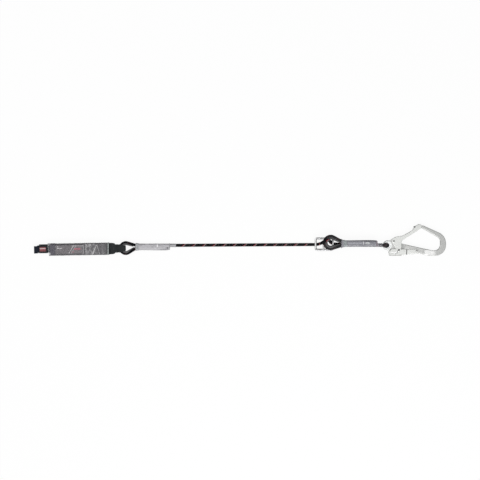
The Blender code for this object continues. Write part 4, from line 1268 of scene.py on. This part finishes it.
def makeCap():
    # closed plastic cap pressed on the tail, with two shallow rings
    inner = ropeRadius + gap
    outer = inner + cap["wall"]
    groove = outer - cap["groove"]
    mouth = cap["mouth"]
    profile = [(inner, tailEnd + gap), (inner, mouth + 0.0003), (inner + 0.0003, mouth),
               (outer - 0.0003, mouth), (outer, mouth + 0.0003)]
    for at in cap["rings"]:
        start = mouth + at
        profile += [(outer, start), (groove, start + 0.0005), (groove, start + 0.0012),
                    (outer, start + 0.0017)]
    profile += [(outer, tailEnd - 0.0002), (outer - 0.0004, tailEnd + 0.0006),
                (outer - 0.0013, tailEnd + 0.0013), (outer - 0.0026, tailEnd + 0.0017)]
    rows = [circleRow((x, tailY, tailZ), radius, yAxis, zAxis, 40) for radius, x in profile]
    bm, _ = sweepRows(rows, caps=True)
    capFinish = plasticFinish("capFinish", (0.018, 0.018, 0.019), (0.040, 0.040, 0.042))
    wear(meshObject("endCap", bm, None, 35), capFinish, "adjuster", "thimble_plastic", "rope_end_cap")


makeBars()
makeCap()
print("adjuster made")


# hook, in its own space at its eye, tilted down to rest on its bowl

hookSpace = Matrix.Translation(eyePoint) @ Matrix.Rotation(hookTilt, 4, "Y")
bowl = {"bar": 0.0243, "spineStart": 0.0700, "ring": 0.0205, "eye": 0.0115, "ease": 0.0020, "rim": 0.0030}
bowl["x"] = bowlReach - bowl["bar"]
plates = {"thick": 0.0020, "gate": halfShank + 0.0005, "lever": halfSpine + 0.0004, "rim": 0.0017}
pivots = {"gate": Vector((0.0248, 0.0164)), "lever": Vector((0.1185, -0.0230)),
          "lock": Vector((0.0449, -0.0207)), "tip": Vector((0.1107, 0.0750))}
pins = {"rivet": 0.0030, "lock": 0.0025, "tip": 0.0020, "head": 0.0048, "tipHead": 0.0032, "thick": 0.0012,
        "room": 0.0003}
coils = {"radius": 0.0054, "wire": 0.0006, "turns": 2.5, "pitch": 0.00165}
pocket = {"radius": coils["radius"] + coils["wire"] + 0.0005,
          "depth": coils["turns"] * coils["pitch"] + 2 * coils["wire"] + 2 * gap}
far = 0.02


def cutHole(piece, centre, radius, low=-far, high=far, sides=40):
    rows = [circleRow((*centre, z), radius, sides=sides) for z in (low, high)]
    bm, _ = sweepRows(rows, caps=True)
    combine(piece, meshObject("holeTool", bm), "DIFFERENCE")


def settle(piece, angle=50):
    # finished hook piece taken to its place, its flats kept flat beside its rounded rims
    piece.data.transform(hookSpace)
    smooth(piece, angle)
    level = piece.modifiers.new("flats", "WEIGHTED_NORMAL")
    level.keep_sharp = True
    level.weight = 100
    applyModifiers(piece)
    return piece


def hookAxes(net):
    # X and Y from the hook's eye
    x, y, _ = net.axes()
    return x - eyePoint.x, y - eyePoint.y


def hookFinish():
    # cast and blasted alloy: lighter shank, polished ring, a smoother flat on the bowl with a painted
    # highlight, painted shade in the recess beside the gate
    net = Net("hookFinish")
    fine, cloud, colour = metalGround(net, (0.475, 0.480, 0.470), (0.580, 0.585, 0.572), 0.0011, 0.030, 0.35)
    east, north = hookAxes(net)
    colour = net.mix(east.below(0.1500, 60.0) * 0.3, colour, (0.75, 0.75, 0.74))
    polished = (east * east + north * north).root().below(0.0185, 300.0)
    colour = net.mix(polished, colour, (0.93, 0.95, 0.94))
    # the bowl's flat: smoother, and a painted highlight lightens its colour
    flat = east.above(0.1500, 260.0) * east.below(0.2010, 75.0) * abs(north + 0.0295).below(0.0115, 260.0)
    colour = net.mix(flat, colour, (0.95, 0.95, 0.94))
    # painted shade where the shank shows in the recess beside the gate
    recessShade = east.near(0.0612, 0.0050) * north.near(-0.0037, 0.0150)
    colour = net.mix(recessShade * 0.4, colour, (0.17, 0.175, 0.175))
    net.set(Base_Color=colour, Metallic=0.85, Roughness=fine * 0.12 + cloud * 0.08 + 0.34 - flat * 0.12)
    net.bump(fine * 0.18 + cloud * 0.3, 0.0005, 0.6)
    return net.material


def ringMesh():
    # the eye: a flat ring with rounded rims
    middle = (bowl["eye"] + bowl["ring"]) / 2
    half = (bowl["ring"] - bowl["eye"]) / 2
    ease = bowl["ease"]
    rows = []
    for turn in range(73):
        outward = heading(2 * pi * turn / 72)
        row = []
        for side, up, start in ((1, 1, 0), (-1, 1, 90), (-1, -1, 180), (1, -1, 270)):
            for part in range(6):
                angle = radians(start + 18 * part)
                reach = middle + side * (half - ease) + ease * cos(angle)
                row.append((*(outward * reach), up * (halfShank - ease) + ease * sin(angle)))
        rows.append(row)
    ring, _ = sweepRows(rows)
    return ring


def makeHookBody():
    bar = bowl["x"]
    start = bowl["spineStart"]
    spine = [
        (start, 0.0045, 0.0), (0.1455, -0.0125, 0.060), (bar - 0.0305, -0.0208, 0.020), (bar, -0.0205, 0.024),
        (bar, 0.0275, 0.020), (0.1479, 0.0664, 0.0), (0.1401, 0.0842, 0.0032), (bowlReach, 0.0392, 0.048),
        (bowlReach, -0.0426, 0.043), (bar - 0.0491, -0.0426, 0.025), (0.1295, -0.0330, 0.008),
        (0.1090, -0.0332, 0.005), (0.1090, -0.0175, 0.002), (start, -0.0165, 0.0),
    ]
    shank = [
        (0.0040, 0.0180, 0.0), (0.0165, 0.0255, 0.006), (0.0325, 0.0255, 0.008), (0.0555, 0.0085, 0.010),
        (start + 0.004, 0.0030, 0.0), (start + 0.004, -0.0155, 0.0), (0.0120, -0.0160, 0.0),
    ]
    tongue = [(0.1340, 0.0815), (0.1325, 0.0735), (0.1435, 0.0688), (0.1515, 0.0660), (0.1515, 0.0760),
              (0.1415, 0.0822)]
    body = meshObject("hookBody", plate(roundedOutline(spine, 5), -halfSpine, halfSpine, bowl["rim"], 3))
    blunt = plate(tongue, -halfShank, halfShank, 0.0005, 2)
    for bm in (plate(roundedOutline(shank, 8), -halfShank, halfShank, 0.0008, 2), ringMesh(), blunt):
        combine(body, meshObject("hookTool", bm), "UNION")
    cutHole(body, (0, 0), bowl["eye"], -2 * halfSpine, 2 * halfSpine, 72)
    for name, depth in (("gate", halfShank), ("lever", halfSpine)):
        cutHole(body, pivots[name], pins["rivet"] + pins["room"], -2 * halfSpine, 2 * halfSpine)
        cutHole(body, pivots[name], pocket["radius"], -2 * halfSpine, pocket["depth"] - depth)
    wear(settle(body), hookFinish(), "hook", "hook_metal", "hook_body")


def channel(name, corners, web, inside):
    # pressed channel: two side plates with chamfered rims and the web between them
    outside = inside + plates["thick"]
    outline = roundedOutline(corners, 6)
    rim = plates["rim"]
    piece = meshObject(name, plate(outline, inside, outside, rim, 2, (outside,)), None, 30)
    combine(piece, meshObject("underTool", plate(outline, -outside, -inside, rim, 2, (-outside,))), "UNION")
    combine(piece, meshObject("webTool", plate(web, -inside - 0.0001, inside + 0.0001)), "UNION")
    return piece


def leverFinish():
    # pressed steel, with painted shade in the step across it, a painted highlight along its rolled lip with
    # painted shade lines either side, and greyer along its lower edge
    net = Net("leverFinish")
    fine, cloud, colour = metalGround(net, (0.72, 0.73, 0.71), (0.83, 0.84, 0.82))
    east, north = hookAxes(net)
    # painted shade in the step across the lever
    step = east.near(0.0774, 0.0018) * (north < -0.0170) * (north > -0.0400)
    colour = net.mix(step * 0.9, colour, (0.09, 0.09, 0.09))
    # the rolled lip: a painted highlight, with painted shade lines either side
    ridge = abs(north + 0.0287 - ((east - 0.0340) * 0.25).most(0.0))
    along = abs(east - 0.0290).below(0.0205, 300.0)
    colour = net.mix(ridge.below(0.0072, 400.0) * along * 0.45, colour, (0.44, 0.45, 0.42))
    colour = net.mix(ridge.below(0.0042, 400.0) * along, colour, (0.96, 0.96, 0.95))
    under = (north < -0.0392) * east.near(0.0310, 0.0245)
    colour = net.mix(under * 0.75, colour, (0.30, 0.30, 0.285))
    net.set(Base_Color=colour, Metallic=0.85, Roughness=0.30 + fine * 0.12 + cloud * 0.08)
    net.bump(fine * 0.07 + cloud * 0.25, 0.0004, 0.55)
    return net.material


def makeGate():
    corners = [
        (0.0160, 0.0250, 0.005), (0.0355, 0.0362, 0.012), (0.0615, 0.0390, 0.010), (0.1015, 0.0614, 0.004),
        (0.1105, 0.0785, 0.006), (0.1310, 0.0880, 0.003), (0.1387, 0.0838, 0.0), (0.1380, 0.0700, 0.003),
        (0.0575, 0.0185, 0.012), (0.0554, -0.0190, 0.004), (0.0495, -0.0258, 0.005), (0.0395, -0.0258, 0.005),
        (0.0155, 0.0150, 0.004),
    ]
    web = [(0.0805, 0.0333), (0.1265, 0.0627), (0.1253, 0.0646), (0.0793, 0.0352)]
    gate = channel("gate", corners, web, plates["gate"])
    for name, radius in (("gate", pins["rivet"]), ("lock", pins["lock"]), ("tip", pins["tip"])):
        cutHole(gate, pivots[name], radius + pins["room"])
    pressed = metalFinish("pressedFinish", (0.71, 0.72, 0.70), (0.80, 0.81, 0.79), 0.32, 0.85, 0.0011, 0.07)
    wear(settle(gate), pressed, "gate", "pressed_metal", "gate")


def slotOutline():
    # path of the lock pin seen from the lever while both turn, widened to the pin
    gateTurn = radians(25)
    leverShare = 0.2
    steps = 12
    middle = []
    for part in range(steps + 1):
        turn = gateTurn * part / steps
        spot = pivots["gate"] + Matrix.Rotation(-turn, 2) @ (pivots["lock"] - pivots["gate"])
        middle.append(Matrix.Rotation(leverShare * turn, 2) @ (spot - pivots["lever"]) + pivots["lever"])
    width = pins["lock"] + 0.0006
    sides = ([], [])
    for index, point in enumerate(middle):
        along = (middle[min(index + 1, steps)] - middle[max(index - 1, 0)]).normalized()
        across = Vector((-along.y, along.x)) * width
        sides[0].append(point + across)
        sides[1].append(point - across)
    ends = []
    for centre, along in ((middle[-1], middle[-1] - middle[-2]), (middle[0], middle[0] - middle[1])):
        start = atan2(along.y, along.x) + pi / 2
        turns = [start - pi * k / 10 for k in range(1, 10)]
        ends.append([centre + heading(angle) * width for angle in turns])
    return sides[0] + ends[0] + sides[1][::-1] + ends[1]


def makeLever():
    corners = [
        (0.0040, -0.0250, 0.003), (0.0065, -0.0426, 0.004), (0.0555, -0.0426, 0.010),
        (0.0775, -0.0385, 0.003), (0.1255, -0.0345, 0.008), (0.1285, -0.0145, 0.008),
        (0.0775, -0.0162, 0.002), (0.0415, -0.0146, 0.005), (0.0160, -0.0146, 0.004),
    ]
    web = [(0.0115, -0.0425), (0.0535, -0.0425), (0.0535, -0.0404), (0.0115, -0.0404)]
    step = [(0.0768, -0.050), (0.0784, -0.050), (0.0784, 0.0), (0.0768, 0.0)]
    lever = channel("lever", corners, web, plates["lever"])
    cutHole(lever, pivots["lever"], pins["rivet"] + pins["room"])
    combine(lever, meshObject("slotTool", plate(slotOutline(), -far, far)), "DIFFERENCE")
    stepHeight = plates["lever"] + plates["thick"] - 0.0007
    for low, high in ((stepHeight, far), (-far, -stepHeight)):
        combine(lever, meshObject("stepTool", plate(step, low, high)), "DIFFERENCE")
    wear(settle(lever), leverFinish(), "lever", "pressed_metal", "safety_lever")


def rivetFinish(name, centre, core, tone):
    # bright head, with painted shade in its punched centre
    net = Net(name)
    fine = net.noise(0.0010, 3.0, 0.6)
    spot = hookSpace @ Vector((*centre, 0.0))
    x, y, _ = net.axes()
    east, north = x - spot.x, y - spot.y
    # painted shade in the punched centre, its size set by core and its colour by tone
    punchShade = (1.6 - (east * east + north * north).root() / core).clipped()
    bright = net.mix(fine, (0.55, 0.56, 0.55), (0.66, 0.67, 0.65))
    net.set(Base_Color=net.mix(punchShade, bright, tone), Metallic=1.0, Roughness=0.30 + fine * 0.15)
    net.bump(fine, 0.0002, 0.5)
    return net.material


def makePin(name, centre, radius, inside, head, body, node, finish):
    # rivet with a domed head at each end
    thick = pins["thick"]
    dome = [(head * sin(radians(a)), inside + thick * cos(radians(a))) for a in (18, 35, 50, 64, 77, 90)]
    profile = [(head * 0.16, inside + thick * 0.86)] + dome + [(radius, inside)]
    profile += [(reach, -z) for reach, z in reversed(profile)]
    bm, _ = sweepRows([circleRow((*centre, z), reach, sides=36) for reach, z in profile], caps=True)
    wear(settle(meshObject(name, bm)), finish, body, "rivet_steel", node)


def makeSpring(name, centre, depth, node, finish):
    # torsion spring round its rivet
    points = []
    steps = round(coils["turns"] * (36))
    for index in range(steps + 1):
        turn = coils["turns"] * index / steps
        spot = heading(2 * pi * turn) * coils["radius"] + centre
        points.append((*spot, coils["wire"] + gap - depth + coils["pitch"] * turn))
    wear(settle(tubeMesh(name, points, coils["wire"], 4), 60), finish, "hook", "rivet_steel", node)


makeHookBody()
makeGate()
makeLever()
gateTop = plates["gate"] + plates["thick"] + gap
leverTop = plates["lever"] + plates["thick"] + gap
# core and tone: the size and colour of the painted shade at each pin's punched centre
for name, spot, radius, inside, head, body, node, core, tone in (
    ("gateRivet", "gate", "rivet", gateTop, "head", "hook", "gate_rivet", 0.0023, (0.16, 0.165, 0.16)),
    ("leverRivet", "lever", "rivet", leverTop, "head", "hook", "lever_rivet", 0.0036, (0.36, 0.36, 0.35)),
    ("lockPin", "lock", "lock", leverTop, "head", "gate", "lock_pin", 0.0023, (0.065, 0.065, 0.065)),
    ("tipRivet", "tip", "tip", gateTop, "tipHead", "gate", "gate_tip_rivet", 0.0030, (0.09, 0.09, 0.09)),
):
    finish = rivetFinish(name + "Finish", pivots[spot], core, tone)
    makePin(name, pivots[spot], pins[radius], inside, pins[head], body, node, finish)
springSteel = metalFinish("rivetFinish", (0.17, 0.17, 0.17), (0.30, 0.30, 0.30), 0.34, 1.0, 0.0010, 0.3)
makeSpring("gateSpring", pivots["gate"], halfShank, "gate_spring", springSteel)
makeSpring("leverSpring", pivots["lever"], halfSpine, "lever_spring", springSteel)
print("hook made")
